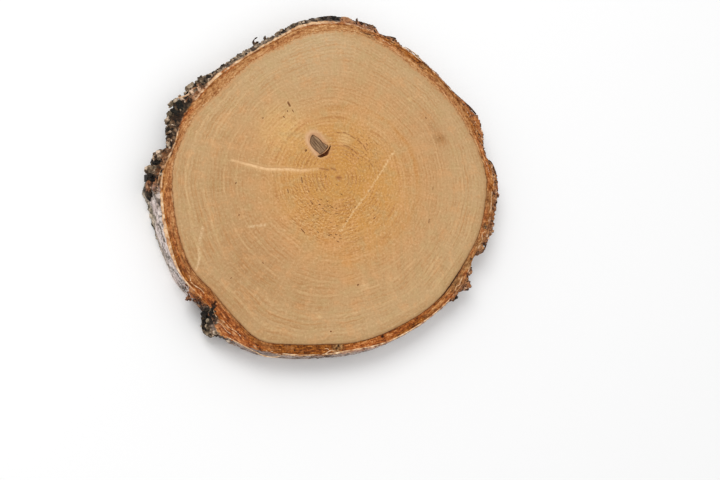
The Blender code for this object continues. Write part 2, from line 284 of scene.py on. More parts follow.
# Lumps of the outer bark: angle, radius, height, half sizes out, along and up, light, warmth
BARK_PIECES = (
    (53.6, 108.9, 16.8, 0.5, 1.3, 1.0, 0.02, 0.1),
    (86.6, 111.0, 15.4, 1.4, 3.4, 3.4, 0.02, 0.1),
    (91.0, 110.9, 15.4, 0.9, 3.2, 3.0, 0.16, 0.2),
    (98.6, 108.3, 15.4, 1.0, 2.2, 3.0, 0.44, 0.2),
    (103.6, 106.4, 15.4, 1.1, 2.6, 3.0, 0.36, 0.15),
    (107.4, 105.2, 15.6, 1.3, 1.0, 2.8, 0.3, 0.15),
    (109.0, 104.4, 15.4, 1.0, 1.6, 2.8, 0.46, 0.2),
    (142.0, 106.9, 15.0, 1.6, 2.6, 3.6, 0.5, 0.15),
    (144.4, 108.6, 14.8, 2.4, 3.2, 4.4, 0.44, 0.15),
    (144.9, 106.9, 16.2, 1.4, 2.4, 1.8, 0.1, 0.1),
    (148.4, 112.5, 14.6, 1.5, 3.2, 4.2, 0.46, 0.15),
    (150.6, 110.0, 15.8, 1.5, 3.0, 2.2, 0.75, 0.45),
    (153.6, 113.8, 15.4, 3.0, 1.2, 2.6, 0.8, 0.35),
    (155.9, 118.0, 14.8, 1.5, 2.8, 3.6, 0.62, 0.15),
    (156.2, 113.6, 15.0, 3.2, 3.2, 3.2, 0.05, 0.0),
    (158.9, 114.6, 14.8, 3.2, 1.8, 3.4, 0.1, 0.0),
    (160.0, 117.2, 14.4, 1.6, 1.6, 3.4, 0.38, 0.1),
    (161.9, 117.2, 14.6, 1.7, 2.0, 3.6, 0.7, 0.2),
    (161.3, 113.2, 15.6, 1.8, 1.5, 2.6, 0.3, 0.1),
    (163.6, 114.2, 15.8, 2.8, 0.6, 2.2, 0.8, 0.3),
    (164.7, 114.9, 15.2, 2.6, 0.9, 3.2, 0.12, 0.1),
    (165.9, 114.6, 15.4, 2.4, 0.8, 3.0, 0.5, 0.3),
    (167.1, 114.0, 15.0, 2.0, 1.2, 3.4, 0.34, 0.3),
    (168.6, 113.7, 15.4, 1.5, 1.4, 2.6, 0.62, 0.35),
    (170.2, 113.3, 15.4, 1.3, 1.2, 2.6, 0.7, 0.3),
    (172.1, 115.6, 15.0, 1.4, 1.6, 3.2, 0.24, 0.4),
    (173.9, 119.8, 13.8, 2.7, 3.0, 4.6, 0.58, 0.3),
    (172.4, 118.2, 14.6, 1.6, 1.2, 3.4, 0.48, 0.3),
    (174.9, 116.0, 15.6, 1.5, 2.2, 2.4, 0.45, 0.7),
    (176.3, 119.6, 14.2, 2.8, 0.9, 4.0, 0.05, 0.1),
    (178.0, 124.3, 13.2, 2.3, 2.1, 4.6, 0.58, 0.2),
    (177.5, 119.6, 15.2, 2.2, 1.2, 2.8, 0.42, 0.4),
    (179.6, 121.2, 14.8, 2.2, 1.6, 3.2, 0.35, 0.3),
    (180.4, 126.0, 12.8, 2.4, 2.4, 5.0, 0.12, 0.1),
    (181.3, 122.4, 15.2, 1.5, 2.2, 2.6, 0.06, 0.1),
    (183.1, 125.6, 13.4, 2.4, 3.2, 4.2, 0.36, 0.8),
    (185.0, 122.6, 15.2, 1.1, 1.4, 2.2, 0.05, 0.1),
    (184.9, 126.0, 11.8, 1.4, 2.6, 4.6, 0.1, 0.2),
    (216.5, 129.0, 14.0, 1.9, 1.3, 3.8, 0.36, 0.85),
    (218.0, 127.0, 15.0, 1.4, 1.3, 2.6, 0.3, 0.85),
    (220.0, 126.2, 15.4, 1.0, 1.2, 2.2, 0.3, 0.8),
    (222.8, 122.0, 16.4, 1.1, 1.0, 1.2, 0.16, 0.85),
    (223.0, 123.2, 16.4, 2.0, 1.5, 1.5, 0.06, 0.1),
    (224.4, 124.6, 16.4, 1.5, 1.4, 1.5, 0.34, 0.1),
    (222.5, 126.4, 16.0, 1.8, 1.3, 1.9, 0.12, 0.1),
    (224.2, 127.4, 16.0, 1.8, 1.8, 1.9, 0.05, 0.1),
    (225.7, 127.6, 15.8, 1.8, 1.3, 1.9, 0.4, 0.4),
    (224.8, 130.2, 15.4, 1.8, 1.8, 2.0, 0.46, 0.1),
    (222.6, 129.6, 15.6, 1.8, 1.6, 2.0, 0.08, 0.1),
    (313.6, 110.2, 15.0, 1.1, 2.2, 3.0, 0.2, 0.4),
    (317.4, 109.4, 15.6, 1.6, 3.2, 2.4, 0.5, 0.9),
    (319.9, 112.4, 14.6, 2.4, 2.4, 3.4, 0.52, 0.8),
    (321.3, 111.8, 14.2, 2.0, 1.0, 3.4, 0.3, 0.4),
    (324.1, 108.9, 15.2, 1.3, 2.6, 3.0, 0.42, 0.7),
    (329.0, 106.1, 16.0, 0.8, 1.6, 2.0, 0.05, 0.2),
    (334.3, 110.9, 14.8, 1.7, 2.2, 3.6, 0.4, 0.7),
    (337.4, 110.8, 15.0, 1.5, 3.0, 3.0, 0.52, 0.9),
    (342.0, 112.2, 14.6, 1.3, 3.0, 3.6, 0.4, 0.6),
    (342.6, 108.4, 16.9, 1.0, 1.3, 0.8, 0.3, 0.1),
    (346.6, 111.6, 15.0, 1.2, 3.4, 3.0, 0.42, 0.7),
    (351.0, 112.6, 15.0, 1.2, 3.4, 3.0, 0.4, 0.6),
    (355.0, 113.6, 14.8, 1.4, 3.0, 3.4, 0.44, 0.7),
    (359.6, 114.4, 15.0, 1.4, 2.8, 3.0, 0.4, 0.7),
    (3.4, 114.2, 15.0, 1.4, 2.8, 3.0, 0.36, 0.7),
    (6.4, 112.2, 15.2, 1.2, 1.6, 2.8, 0.2, 0.5),
    (16.4, 112.4, 15.0, 1.4, 1.6, 3.0, 0.42, 0.8),
    (20.2, 114.0, 14.6, 1.2, 1.4, 3.4, 0.35, 0.5),
    (23.8, 114.6, 14.6, 1.4, 2.0, 3.4, 0.4, 0.7),
    (27.2, 112.2, 15.0, 1.1, 2.6, 3.0, 0.4, 0.6),
    (64.2, 110.2, 15.4, 0.9, 1.8, 2.6, 0.16, 0.3),
    (67.4, 108.0, 15.8, 0.8, 2.6, 2.0, 0.08, 0.2),
    (73.4, 110.8, 15.2, 1.2, 2.4, 2.8, 0.3, 0.5),
    (78.4, 112.4, 14.8, 1.0, 0.7, 3.0, 0.25, 0.4),
    (76.2, 111.2, 15.0, 1.1, 2.2, 3.0, 0.36, 0.5),
)

# Loose grains strewn over the bark's rim: first angle, last angle, count, size, light, warmth
CRUMBS = (
    (332.0, 391.0, 260, 1.0, 0.56, 0.8),
    (311.0, 327.0, 60, 0.9, 0.45, 0.8),
    (60.0, 85.0, 130, 0.8, 0.38, 0.75),
    (62.0, 82.0, 70, 0.7, 0.14, 0.5),
    (350.0, 382.0, 110, 0.8, 0.42, 0.75),
    (92.0, 139.0, 170, 0.8, 0.52, 0.2),
    (139.0, 185.0, 90, 1.2, 0.38, 0.2),
    (213.0, 221.6, 70, 0.8, 0.36, 0.85),
    (222.6, 226.8, 80, 1.0, 0.3, 0.1),
)

# How many of each five grains lie on the wall, and the share of black ones, which is less in warm bark
CRUMBS_ON_WALL = 2
BLACK_CRUMBS = 0.18

# The burr's grains, how all grains and lumps tilt, how square they are and how fine their meshes are
BURR_GRAINS = 110
CHUNK_TILT = 0.14
CHUNK_SQUARENESS = 0.5
GRAIN_DETAIL = 2
LUMP_DETAIL = 4
PEEL_SPACING = 0.45
RANDOM_SEED = 11

# Thin layers that stand up in the sawn bark or curl away from it, as points angle, radius:
# lowest height, highest height, thickness, light, cork share, points
PEELS = (
    (14.0, 17.8, 0.45, 0.1, 0.0,
     ((119.3, 103.2), (119.7, 104.4), (119.3, 105.7), (118.3, 106.6), (117.6, 106.3))),
    (14.0, 17.8, 0.55, 0.12, 0.0, ((119.9, 103.4), (118.9, 103.9), (118.0, 103.2))),
    (14.0, 17.8, 0.85, 0.08, 0.0, ((114.5, 102.4), (114.9, 103.8), (114.6, 105.2))),
    (16.2, 17.7, 0.6, 0.2, 0.0, ((71.2, 111.6), (72.4, 112.3), (74.2, 112.1), (76.4, 112.3))),
    (15.0, 17.7, 0.5, 0.2, 0.0, ((78.2, 111.6), (78.5, 113.0), (78.7, 114.2))),
    (16.4, 17.7, 0.7, 0.1, 0.0,
     ((63.6, 111.0), (65.2, 110.2), (67.0, 108.8), (69.0, 108.2), (70.6, 107.6))),
    (15.0, 17.7, 0.5, 0.25, 0.0, ((11.9, 109.8), (12.0, 112.2))),
    (17.0, 17.95, 0.5, 0.8, 0.9,
     ((50.6, 108.0), (53.0, 108.5), (55.0, 108.9), (57.0, 109.0), (59.0, 108.9))),
    (17.0, 17.8, 0.5, 0.8, 0.8, ((80.4, 112.2), (82.5, 113.0), (84.6, 112.6))),
    (16.0, 17.95, 1.2, 0.85, 0.5,
     ((146.6, 107.8), (149.0, 109.2), (151.0, 110.8), (152.8, 113.4), (154.4, 117.0))),
    (15.6, 17.9, 0.4, 0.8, 0.8, ((178.2, 118.6), (181.0, 120.2), (184.0, 121.6), (187.0, 122.0))),
    (15.8, 17.98, 0.65, 0.85, 0.95,
     ((210.4, 122.4), (212.0, 122.2), (213.4, 123.5), (215.4, 122.4), (217.0, 121.2), (219.4, 121.6))),
    (15.8, 17.98, 0.65, 0.85, 0.95,
     ((223.6, 124.2), (225.6, 125.8), (228.0, 125.1), (230.0, 125.9),
      (232.4, 125.3), (234.5, 125.9), (236.6, 125.0))),
    (15.8, 17.98, 0.5, 0.85, 0.8, ((226.4, 128.4), (228.0, 127.4), (230.4, 128.6), (233.0, 127.9))),
    (16.9, 17.98, 0.6, 0.85, 0.95,
     ((228.6, 133.4), (230.0, 132.6), (231.6, 131.4), (233.4, 130.7), (236.0, 130.0), (240.0, 129.6))),
    (16.9, 17.98, 0.6, 0.85, 0.95,
     ((239.8, 129.4), (242.0, 129.4), (244.0, 128.6), (246.0, 127.0), (247.4, 125.0))),
    (15.8, 17.98, 0.6, 0.85, 0.95,
     ((239.6, 127.0), (242.0, 126.0), (243.4, 125.7), (245.0, 124.3), (246.6, 124.6), (248.4, 123.6))),
    (15.6, 17.98, 0.7, 0.85, 0.95,
     ((259.6, 117.6), (260.8, 116.6), (261.8, 115.0), (262.8, 114.0), (264.4, 114.2), (266.0, 115.2))),
    (16.0, 17.98, 0.5, 0.85, 0.9, ((262.4, 114.2), (261.4, 113.0), (260.6, 113.6))),
    (15.8, 17.98, 0.6, 0.85, 0.9,
     ((314.2, 106.4), (315.4, 107.7), (316.8, 106.8), (318.2, 107.7),
      (319.6, 106.9), (321.6, 106.7), (324.0, 107.4))),
    (16.0, 17.98, 0.65, 0.8, 0.75,
     ((333.0, 106.4), (335.0, 108.2), (337.4, 108.6), (339.6, 107.6), (341.6, 109.4), (345.0, 110.2))),
    (16.0, 17.98, 0.6, 0.8, 0.7, ((346.0, 110.0), (350.0, 110.9), (354.0, 111.4), (358.0, 112.2))),
    (16.0, 17.98, 0.6, 0.8, 0.7, ((1.0, 112.0), (3.4, 110.8), (5.6, 110.4), (8.4, 109.2))),
    (16.0, 17.95, 0.5, 0.16, 0.0,
     ((66.0, 106.0), (69.0, 106.6), (72.5, 105.1), (76.5, 104.8), (80.0, 106.6))),
    (16.0, 17.95, 0.45, 0.2, 0.0, ((60.6, 105.2), (63.6, 106.5), (67.0, 106.0))),
    (16.0, 17.95, 0.45, 0.2, 0.0, ((72.8, 104.8), (71.4, 103.4), (70.4, 102.4))),
    (16.0, 17.95, 0.45, 0.24, 0.0, ((46.6, 104.2), (50.0, 103.4), (52.4, 104.4), (56.0, 103.8))),
    (16.0, 17.98, 0.6, 0.75, 0.6,
     ((82.4, 108.2), (79.0, 108.4), (76.4, 107.4), (73.6, 108.6), (71.6, 107.0))),
    (16.0, 17.98, 0.5, 0.75, 0.5, ((69.0, 104.6), (65.6, 104.8), (62.6, 103.4))),
    (16.0, 17.85, 0.4, 0.7, 0.45, ((13.0, 107.2), (14.2, 110.2))),
    (16.0, 17.85, 0.4, 0.7, 0.45, ((15.4, 107.4), (16.6, 111.6))),
    (16.0, 17.85, 0.4, 0.7, 0.4, ((18.0, 107.8), (19.2, 112.6))),
    (16.0, 17.85, 0.4, 0.7, 0.4, ((20.6, 107.8), (22.2, 113.6))),
    (16.0, 17.85, 0.4, 0.7, 0.35, ((24.0, 108.2), (25.4, 113.0))),
    (16.0, 17.9, 0.6, 0.25, 0.0,
     ((24.2, 115.8), (27.0, 114.1), (30.0, 111.9), (33.0, 110.1), (36.0, 109.0))),
    (16.0, 17.9, 0.5, 0.3, 0.0, ((7.6, 112.6), (6.8, 114.0), (4.8, 115.3), (2.4, 116.2), (0.0, 115.9))),
    (16.0, 17.9, 0.5, 0.3, 0.0,
     ((359.6, 115.6), (357.4, 114.2), (355.4, 115.6), (352.0, 114.9), (347.0, 113.3))),
    (16.0, 17.9, 0.5, 0.35, 0.0,
     ((346.4, 113.0), (344.6, 112.6), (342.4, 113.6), (340.0, 112.3), (337.4, 112.7))),
    (15.6, 17.9, 0.5, 0.2, 0.0,
     ((337.2, 112.7), (335.2, 112.4), (333.6, 110.2), (331.0, 107.2), (329.4, 106.3))),
    (16.2, 17.9, 0.6, 0.02, 0.0, ((85.2, 111.4), (87.0, 112.3), (89.0, 111.9), (92.0, 111.2))),
)

# How blurred the line between wood and bark is, from 0 to 1, every thirty degrees
EDGE_BLUR = (0.3, 0.8, 0.85, 0.8, 0.8, 0.7, 0.4, 0.3, 0.15, 0.1, 0.1, 0.15)

# Colours across the sawn wood by share of its radius, and of the barks by how light they are
WOOD_COLOURS = (
    (0.0, 198, 145, 74),
    (0.14, 195, 142, 69),
    (0.3, 200, 147, 80),
    (0.45, 198, 150, 95),
    (0.62, 195, 150, 100),
    (0.8, 192, 154, 107),
    (0.93, 192, 157, 112),
    (1.0, 182, 147, 102),
)
DARK_FLESH = (
    (0.3, 62, 26, 4), (0.42, 122, 64, 16), (0.5, 152, 86, 25),
    (0.58, 182, 112, 44), (0.7, 222, 164, 100),
)
RED_FLESH = (
    (0.3, 80, 30, 8), (0.42, 138, 64, 24), (0.5, 172, 88, 38),
    (0.58, 198, 116, 62), (0.7, 228, 170, 120),
)
DULL_FLESH = (
    (0.3, 58, 39, 19), (0.42, 108, 76, 42), (0.5, 142, 104, 62),
    (0.58, 168, 129, 82), (0.7, 200, 166, 122),
)
PALE_FLESH = (
    (0.3, 162, 98, 50), (0.42, 191, 133, 80), (0.5, 204, 152, 99),
    (0.58, 216, 169, 118), (0.7, 232, 194, 150),
)
GREY_BARK = (
    (0.0, 12, 11, 8), (0.3, 44, 40, 31), (0.5, 96, 88, 70),
    (0.7, 156, 142, 120), (1.0, 222, 204, 184),
)
BROWN_BARK = (
    (0.0, 40, 20, 10), (0.3, 96, 54, 30), (0.5, 148, 92, 56),
    (0.7, 184, 128, 88), (1.0, 226, 180, 140),
)
WHITE_BARK = ((0.3, 172, 150, 143), (0.5, 216, 199, 192), (0.7, 242, 233, 228))
CORK_COLOURS = ((0.3, 186, 138, 94), (0.5, 224, 184, 142), (0.7, 246, 220, 186))
RIM_COLOURS = ((0.35, 172, 112, 62), (0.5, 194, 140, 88), (0.62, 206, 158, 110))
KNOT_COLOURS = ((0.2, 54, 35, 22), (0.45, 97, 70, 47), (0.7, 128, 98, 70), (0.95, 162, 130, 96))
# The knot's hole and gap walls: their own darker brown together with painted shade, darker than the sawn
# face
HOLLOW_AND_SHADE_COLOURS = ((0.3, 84, 44, 20), (0.7, 160, 98, 52))
FLECK_COLOURS = ((0.3, 96, 56, 24), (0.7, 150, 98, 50))
# Dark brown painted into the small holes and the wide drying gap, the deeper or wider the darker: painted
# shade
HOLE_SHADE_COLOUR = (60, 32, 15)

# How far apart the rings are, how long the rays are, and how the grains of both barks are drawn out
RING_PITCH = 2.6
RAY_LENGTH = 13.0
BARK_RADIUS = 110.0
FLESH_STRETCH = 4.0
SHEET_FLATNESS = 5.0

# Pairs of tints laid over the wood by the value of a noise, for its high and its low values: from, to,
# strength at each, colour
FINE_BANDS = ((0.52, 0.7, 0.0, 0.65, (178, 122, 66)), (0.3, 0.48, 0.4, 0.0, (216, 176, 126)))
BROAD_BANDS = ((0.54, 0.68, 0.0, 0.3, (216, 178, 126)), (0.32, 0.46, 0.35, 0.0, (178, 136, 86)))
RAYS = ((0.56, 0.72, 0.0, 0.18, (224, 184, 136)), (0.3, 0.44, 0.18, 0.0, (176, 124, 74)))
SOFT_TINTS = ((0.5, 0.68, 0.0, 0.35, (184, 156, 106)), (0.32, 0.48, 0.35, 0.0, (212, 156, 102)))
SAW_MARKS = ((0.5, 0.64, 0.0, 0.22, (176, 148, 100)), (0.36, 0.48, 0.18, 0.0, (214, 178, 126)))
# The torn fibres' pair is painted light and shade: a darker shade and a pale highlight on the relief of the
# torn grain
TORN_FIBRE_SHADING = ((0.04, 0.18, 0.0, 0.7, (152, 96, 38)), (-0.22, -0.06, 0.5, 0.0, (234, 194, 140)))
SPECKLE = ((0.5, 0.72, 0.0, 0.6, (162, 110, 60)), (0.28, 0.48, 0.5, 0.0, (232, 192, 144)))
TUFT = ((0.5, 0.7, 0.0, 0.6, (150, 92, 42)), (0.3, 0.46, 0.8, 0.0, (240, 196, 146)))

# Broad stains in the sawn wood: X, Y, reach, strength from 0 to 1, colour
STAINS = (
    (-36.0, 33.0, 25.0, 0.6, (226, 180, 108)),
    (-74.0, -62.0, 54.0, 0.75, (174, 132, 86)),
    (-36.0, -82.0, 44.0, 0.5, (178, 138, 90)),
    (-38.0, -38.0, 22.0, 0.2, (206, 158, 112)),
    (1.0, -54.0, 11.0, 0.55, (208, 144, 74)),
    (2.0, -67.0, 8.0, 0.35, (208, 148, 82)),
    (12.5, -71.5, 4.5, 0.6, (224, 190, 140)),
    (-21.0, -91.0, 3.6, 0.55, (220, 186, 134)),
    (56.0, 56.0, 2.6, 0.65, (228, 192, 136)),
    (65.5, 44.0, 6.0, 0.6, (170, 128, 80)),
    (70.5, 37.0, 6.0, 0.6, (168, 124, 76)),
    (-76.0, -8.0, 46.0, 0.5, (174, 136, 90)),
    (30.0, 38.0, 26.0, 0.4, (210, 166, 112)),
    (-30.0, 75.0, 62.0, 0.5, (190, 162, 120)),
    (-5.0, 94.0, 36.0, 0.45, (198, 172, 134)),
    (76.0, 30.0, 26.0, 0.4, (184, 140, 96)),
    (-9.6, -41.0, 14.0, 0.45, (204, 136, 66)),
    (75.6, 28.6, 8.0, 0.8, (158, 114, 66)),
    (6.0, 26.6, 8.0, 0.7, (218, 180, 124)),
    (1.0, 17.0, 8.0, 0.5, (208, 150, 74)),
    (-6.0, 10.5, 7.0, 0.7, (188, 124, 52)),
)

# Spots on the sawn face inside which something shows more or less: X, Y, the distances between which it
# changes, its strength inside and outside
HEART_SPOT = (2.0, -10.0, 20.0, 64.0, 1.0, 0.0)
RINGLESS_SPOT = (56.0, 60.0, 50.0, 130.0, 0.25, 1.0)
SAWN_SPOT = (52.0, -52.0, 24.0, 62.0, 1.0, 0.0)
ROUGH_SPOT = (-6.0, -16.0, 16.0, 44.0, 1.0, 0.25)
ARC_SPOT = (20.0, 19.0, 6.0, 20.0, 0.9, 0.0)
HALO_SPOT = (-18.0, 23.0, 6.0, 14.0, 1.0, 0.25)
TORN_SPOT = (-4.0, -37.4, 1.0, 6.5, 1.0, 0.0)
KNOT_SPOT = (-12.0, 21.5, 12.0, 13.0, 1.0, 0.0)
PITH_SPOT = (0.0, 0.0, 0.6, 2.8, 0.5, 0.0)

# Marks on the sawn face, as points X, Y
RAY_CRACK = (
    (-72.1, 10.6), (-62.3, 8.1), (-49.8, 5.1), (-32.8, 5.2), (-26.0, 4.4), (-13.5, 6.1),
)
SCRATCH = ((40.8, 18.6), (25.3, -1.9), (19.6, -9.8), (8.0, -22.7), (-1.5, -35.5))
PITH_LINES = (
    ((-1.8, 0.3), (1.2, 0.2)),
    ((-5.0, 6.6), (-2.0, 5.4)),
    ((-12.8, 6.2), (-7.0, 5.4)),
)
CHECKS = (
    ((1.4, 30.8), (7.0, 30.9), (11.5, 28.3), (16.4, 25.3), (19.4, 22.0), (21.9, 17.6)),
    ((22.2, 12.2), (24.2, 8.7)),
    ((5.3, 22.4), (8.5, 21.5), (11.1, 19.6), (13.2, 17.4)),
)
PALE_MARKS = (
    ((-93.7, -33.0), (-96.8, -44.0), (-97.2, -54.1), (-99.6, -60.0)),
    ((-64.0, -33.0), (-53.0, -31.5)),
)
KNOT_HALO = ((-14.6, 25.4), (-10.6, 19.6))
HEART_RING_MIDDLE = (9.0, 1.0)
HEART_RING_RADIUS = 47.5

# How near to its middle a mark is at full strength, and how the marks look: colour, reach, strength
MARK_CORE = 0.1
SCRATCH_LOOK = ((234, 198, 146), 1.0, 0.62)
PALE_MARK_LOOK = ((228, 196, 152), 1.4, 0.6)
CHECK_LOOK = ((140, 88, 40), 0.75, 0.8)
PITH_LOOK = ((140, 84, 40), 1.1, 0.65)

# Short dark flecks on the sawn face: X, Y, direction, length, width
FLECKS = (
    (-25.8, -1.8, 95.0, 4.6, 0.8),
    (-35.9, -9.2, 100.0, 3.2, 0.6),
    (-20.1, -17.0, 125.0, 3.6, 0.6),
    (-27.6, -35.5, 130.0, 4.4, 0.8),
    (-9.3, -38.1, 20.0, 2.6, 0.6),
    (-5.1, -37.8, 160.0, 2.0, 0.5),
    (-17.4, -36.2, 150.0, 2.0, 0.5),
    (22.8, -26.7, 40.0, 2.8, 0.6),
    (21.2, -8.5, 75.0, 1.8, 0.5),
    (-31.0, 49.2, 115.0, 4.0, 1.6),
    (-28.6, 44.6, 118.0, 2.2, 0.7),
    (-32.4, 44.4, 100.0, 1.4, 0.7),
    (-35.1, 40.3, 130.0, 1.4, 0.8),
    (-49.5, 39.1, 60.0, 1.4, 0.8),
    (66.6, 43.1, 110.0, 1.6, 0.7),
    (75.7, 29.3, 120.0, 1.2, 0.6),
    (67.1, -5.8, 80.0, 2.4, 0.5),
    (62.0, -28.5, 78.0, 3.6, 0.6),
    (7.4, -71.1, 30.0, 1.6, 1.1),
    (-13.6, -100.9, 10.0, 1.4, 1.0),
    (-70.4, -4.5, 60.0, 1.6, 0.8),
    (-69.7, -25.3, 70.0, 1.4, 0.8),
    (-55.9, -56.3, 120.0, 1.2, 0.7),
    (-77.5, -65.7, 40.0, 1.2, 0.7),
    (-21.6, 18.1, 60.0, 1.8, 1.5),
)

# The number of points round a fleck, and its section: share of the outline, height over the face
FLECK_SIDES = 12
FLECK_LEVELS = ((0.6, -0.5), (1.0, -0.1), (1.0, 0.01), (0.5, 0.03))

# Torn grain strewn to the lower left of the pith: X, Y, reach, count
TORN_GRAIN = (
    (-9.0, -24.0, 15.0, 26),
    (-20.0, -10.0, 12.0, 8),
    (-6.0, -36.0, 6.0, 9),
)

# What is painted on the outer bark where nothing else is said
PLAIN_BARK = {
    "light": 0.4, "paper": 0.0, "warmth": 0.3, "crack": 0.0, "cork": 0.0,
    "flesh": 0.0, "tone": 0.3, "hole": 0.0, "dull": 0.0,
}

# Mesh resolution
WOOD_STEPS = 900
WOOD_ROWS = 36
WOOD_LOWER_ROWS = 16
INNER_STEPS = 1300
INNER_ROWS = 12
INNER_LOWER_ROWS = 8
OUTER_STEPS = 1500
OUTER_FACE_ROWS = 9
OUTER_WALL_ROWS = 28
OUTER_LOWER_ROWS = 6

# Camera: where it stands, and its own axes as the frame sees them
CAMERA_PLACE = (-330.0, -217.1, 844.4)
CAMERA_YAW = 22.0
CAMERA_PITCH = 12.0
CAMERA_LENS = 70.0
CAMERA_SENSOR = 36.0

# The studio: places and sizes in metres, the light's power in watts
FLOOR_HALF = 4.0
FLOOR_COLOUR = (0.93, 0.93, 0.93, 1.0)
WORLD_STRENGTH = 0.75
KEY_LIGHT_PLACE = (-0.9, 1.1, 1.9)
KEY_LIGHT_SIZE = 1.4
KEY_LIGHT_POWER = 26.0


def cubic(before, start, end, after, t):
    """A smooth curve from start to end as t goes from 0 to 1, led by the values on either side."""
    slope = (end - before) / 2
    curve = before - 2.5 * start + 2 * end - 0.5 * after
    twist = 1.5 * (start - end) + 0.5 * (after - before)
    return start + t * (slope + t * (curve + t * twist))


def around(values, angle):
    """Value at an angle, on a smooth closed curve through evenly spaced values."""
    count = len(values)
    position = (angle % 360.0) / 360.0 * count
    index = int(position)
    return cubic(*(values[(index + k) % count] for k in (-1, 0, 1, 2)), position - index)


def angle_between(angle, centre):
    """Signed difference of two angles, from -180 to 180."""
    return (angle - centre + 180.0) % 360.0 - 180.0


def hump(distance, half_width):
    """Smooth hump: 1 at distance 0, and 0 from the half width on."""
    share = min(abs(distance) / half_width, 1.0)
    return (1.0 - share * share) ** 2


def angle_hump(angle, centre, half_width):
    return hump(angle_between(angle, centre), half_width)


def clamp(value, low=0.0, high=1.0):
    return min(max(value, low), high)


def mix(start, end, share):
    return start + (end - start) * share


def angle_of(point):
    return round(math.degrees(math.atan2(point.y, point.x)), 1)


def point_at(angle, radius, height):
    turn = math.radians(angle)
    return Vector((radius * math.cos(turn), radius * math.sin(turn), height))


@functools.cache
def wood_radius(angle):
    return around(WOOD_RADII, angle)


@functools.cache
def inner_bark_radius(angle):
    return wood_radius(angle) + around(INNER_BARK_WIDTHS, angle)


def humps(table, angle):
    """The heights of a table's humps at an angle, added up."""
    return sum(height * angle_hump(angle, centre, width) for centre, width, height in table)


@functools.cache
def seam_radius(angle):
    """Radius of the uneven line between wood and inner bark."""
    place = point_at(angle, wood_radius(angle), 0.0)
    ragged = noise(place / 2.6) + 0.7 * noise(place / 0.9)
    strayed = wood_radius(angle) + humps(SEAM_STRAYS, angle)
    return strayed + RAGGEDNESS * around(EDGE_BLUR, angle) * ragged


@functools.cache
def edge_radius(angle):
    """Radius of the bark's outside at the upper face, as in the part."""
    outer = max(around(OUTER_BARK_WIDTHS, angle) + humps(BARK_LUMPS, angle), THINNEST_OUTER_BARK)
    return inner_bark_radius(angle) + outer


def faded(stretches, angle, fade):
    """A stretch's values at an angle, faded from one stretch into the next."""
    total = [0.0] * (len(stretches[0]) - 2)
    weights = 0.0
    for start, end, *values in stretches:
        outside = abs(angle_between(angle, (start + end) / 2)) - (end - start) / 2
        weight = clamp(0.5 - outside / fade)
        weights += weight
        total = [so_far + weight * value for so_far, value in zip(total, values)]
    return [value / weights for value in total]


@functools.cache
def bark_surface(angle):
    """Fissure depth, plate width, paper, warmth and light of the bark's wall at an angle."""
    return faded(BARK_STRETCHES, angle, STRETCH_FADE)


@functools.cache
def face_look(angle):
    """Flesh, warmth, light and cork of the outer bark's sawn face at an angle."""
    return faded(FACE_STRETCHES, angle, FACE_FADE)


def plates(point, width):
    """Cracked plates: 0 in the cracks to 1 on a plate, and a number from 0 to 1 of the plate's own."""
    distances, centres = voronoi(point / width)[:2]
    plate = min((distances[1] - distances[0]) * CRACK_STEEPNESS, 1.0)
    return plate, clamp(0.5 + noise(centres[0] * PLATE_SCATTER))


def wall_radius(angle, height):
    """Radius of the bark's outside at a height, with its plates and fissures, as in the part."""
    edge = edge_radius(angle)
    depth_share = 1.0 - height / THICKNESS
    flare = around(LOWER_EDGE_FLARE, angle) * depth_share
    bulge = WALL_BULGE * math.sin(math.pi * depth_share)
    burr = BURR_HEIGHT * angle_hump(angle, BURR_ANGLE, BURR_HALF_ANGLE)
    burr *= hump(height - BURR_LEVEL, BURR_HALF_LEVEL)
    depth, width = bark_surface(angle)[:2]
    point = point_at(angle, edge, height)
    swell = noise(point / (2 * width))
    kept = mix(FISSURE_AT_EDGE, 1.0, hump(height - THICKNESS / 2, FISSURE_REACH))
    relief = kept * depth * (plates(point, width)[0] - 0.8 + 0.7 * swell)
    stray = humps(EDGE_STRAYS, angle) * clamp(height / THICKNESS)
    return edge + flare + bulge + burr + relief + stray


def put(name, data):
    """A new object in the scene."""
    thing = bpy.data.objects.new(name, data)
    bpy.context.scene.collection.objects.link(thing)
    return thing


def dress(name, data, paint, material):
    """A piece of the slice from its mesh and the values painted on it."""
    for label, values in paint.items():
        data.attributes.new(label, "FLOAT", "POINT").data.foreach_set("value", values)
    mesh = bmesh.new()
    mesh.from_mesh(data)
    bmesh.ops.recalc_face_normals(mesh, faces=mesh.faces)
    mesh.to_mesh(data)
    mesh.free()
    data.materials.clear()
    data.materials.append(material)
    data.polygons.foreach_set("use_smooth", [True] * len(data.polygons))
    piece = put(name, data)
    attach(piece, "root")
    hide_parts(NODE)


class Shell:
    """Points, faces and painted values of one piece while it is built."""

    def __init__(self):
        self.points = []
        self.faces = []
        self.paint = {}

    def add(self, point, **paint):
        for name, value in paint.items():
            self.paint.setdefault(name, []).append(value)
        self.points.append(point)
        return len(self.points) - 1

    def join(self, rows, ring):
        """Bands of faces between rows of points. A ring's last row joins its first."""
        following_rows = rows[1:] + rows[:1] if ring else rows[1:]
        for row, following in zip(rows, following_rows):
            for k in range(len(row)):
                after = (k + 1) % len(row)
                self.faces.append((row[k], row[after], following[after], following[k]))

    def close(self, rows):
        """A tube of rows of points, with a face over each end."""
        self.join(rows, ring=False)
        self.faces += [rows[0], rows[-1]]

    def mesh(self, name):
        data = bpy.data.meshes.new(name)
        data.from_pydata([point * MM for point in self.points], [], self.faces)
        return data

    def make(self, name, slot, material):
        """The piece itself, kept inside the part's box."""
        low, high = (Vector(corner) / MM for corner in cad_box)
        for point in self.points:
            point.x = clamp(point.x, low.x, high.x)
            point.y = clamp(point.y, low.y, high.y)
        outward = [point.xy.length - wood_radius(angle_of(point)) for point in self.points]
        dress(name, self.mesh(name), {**self.paint, "outward": outward}, material)


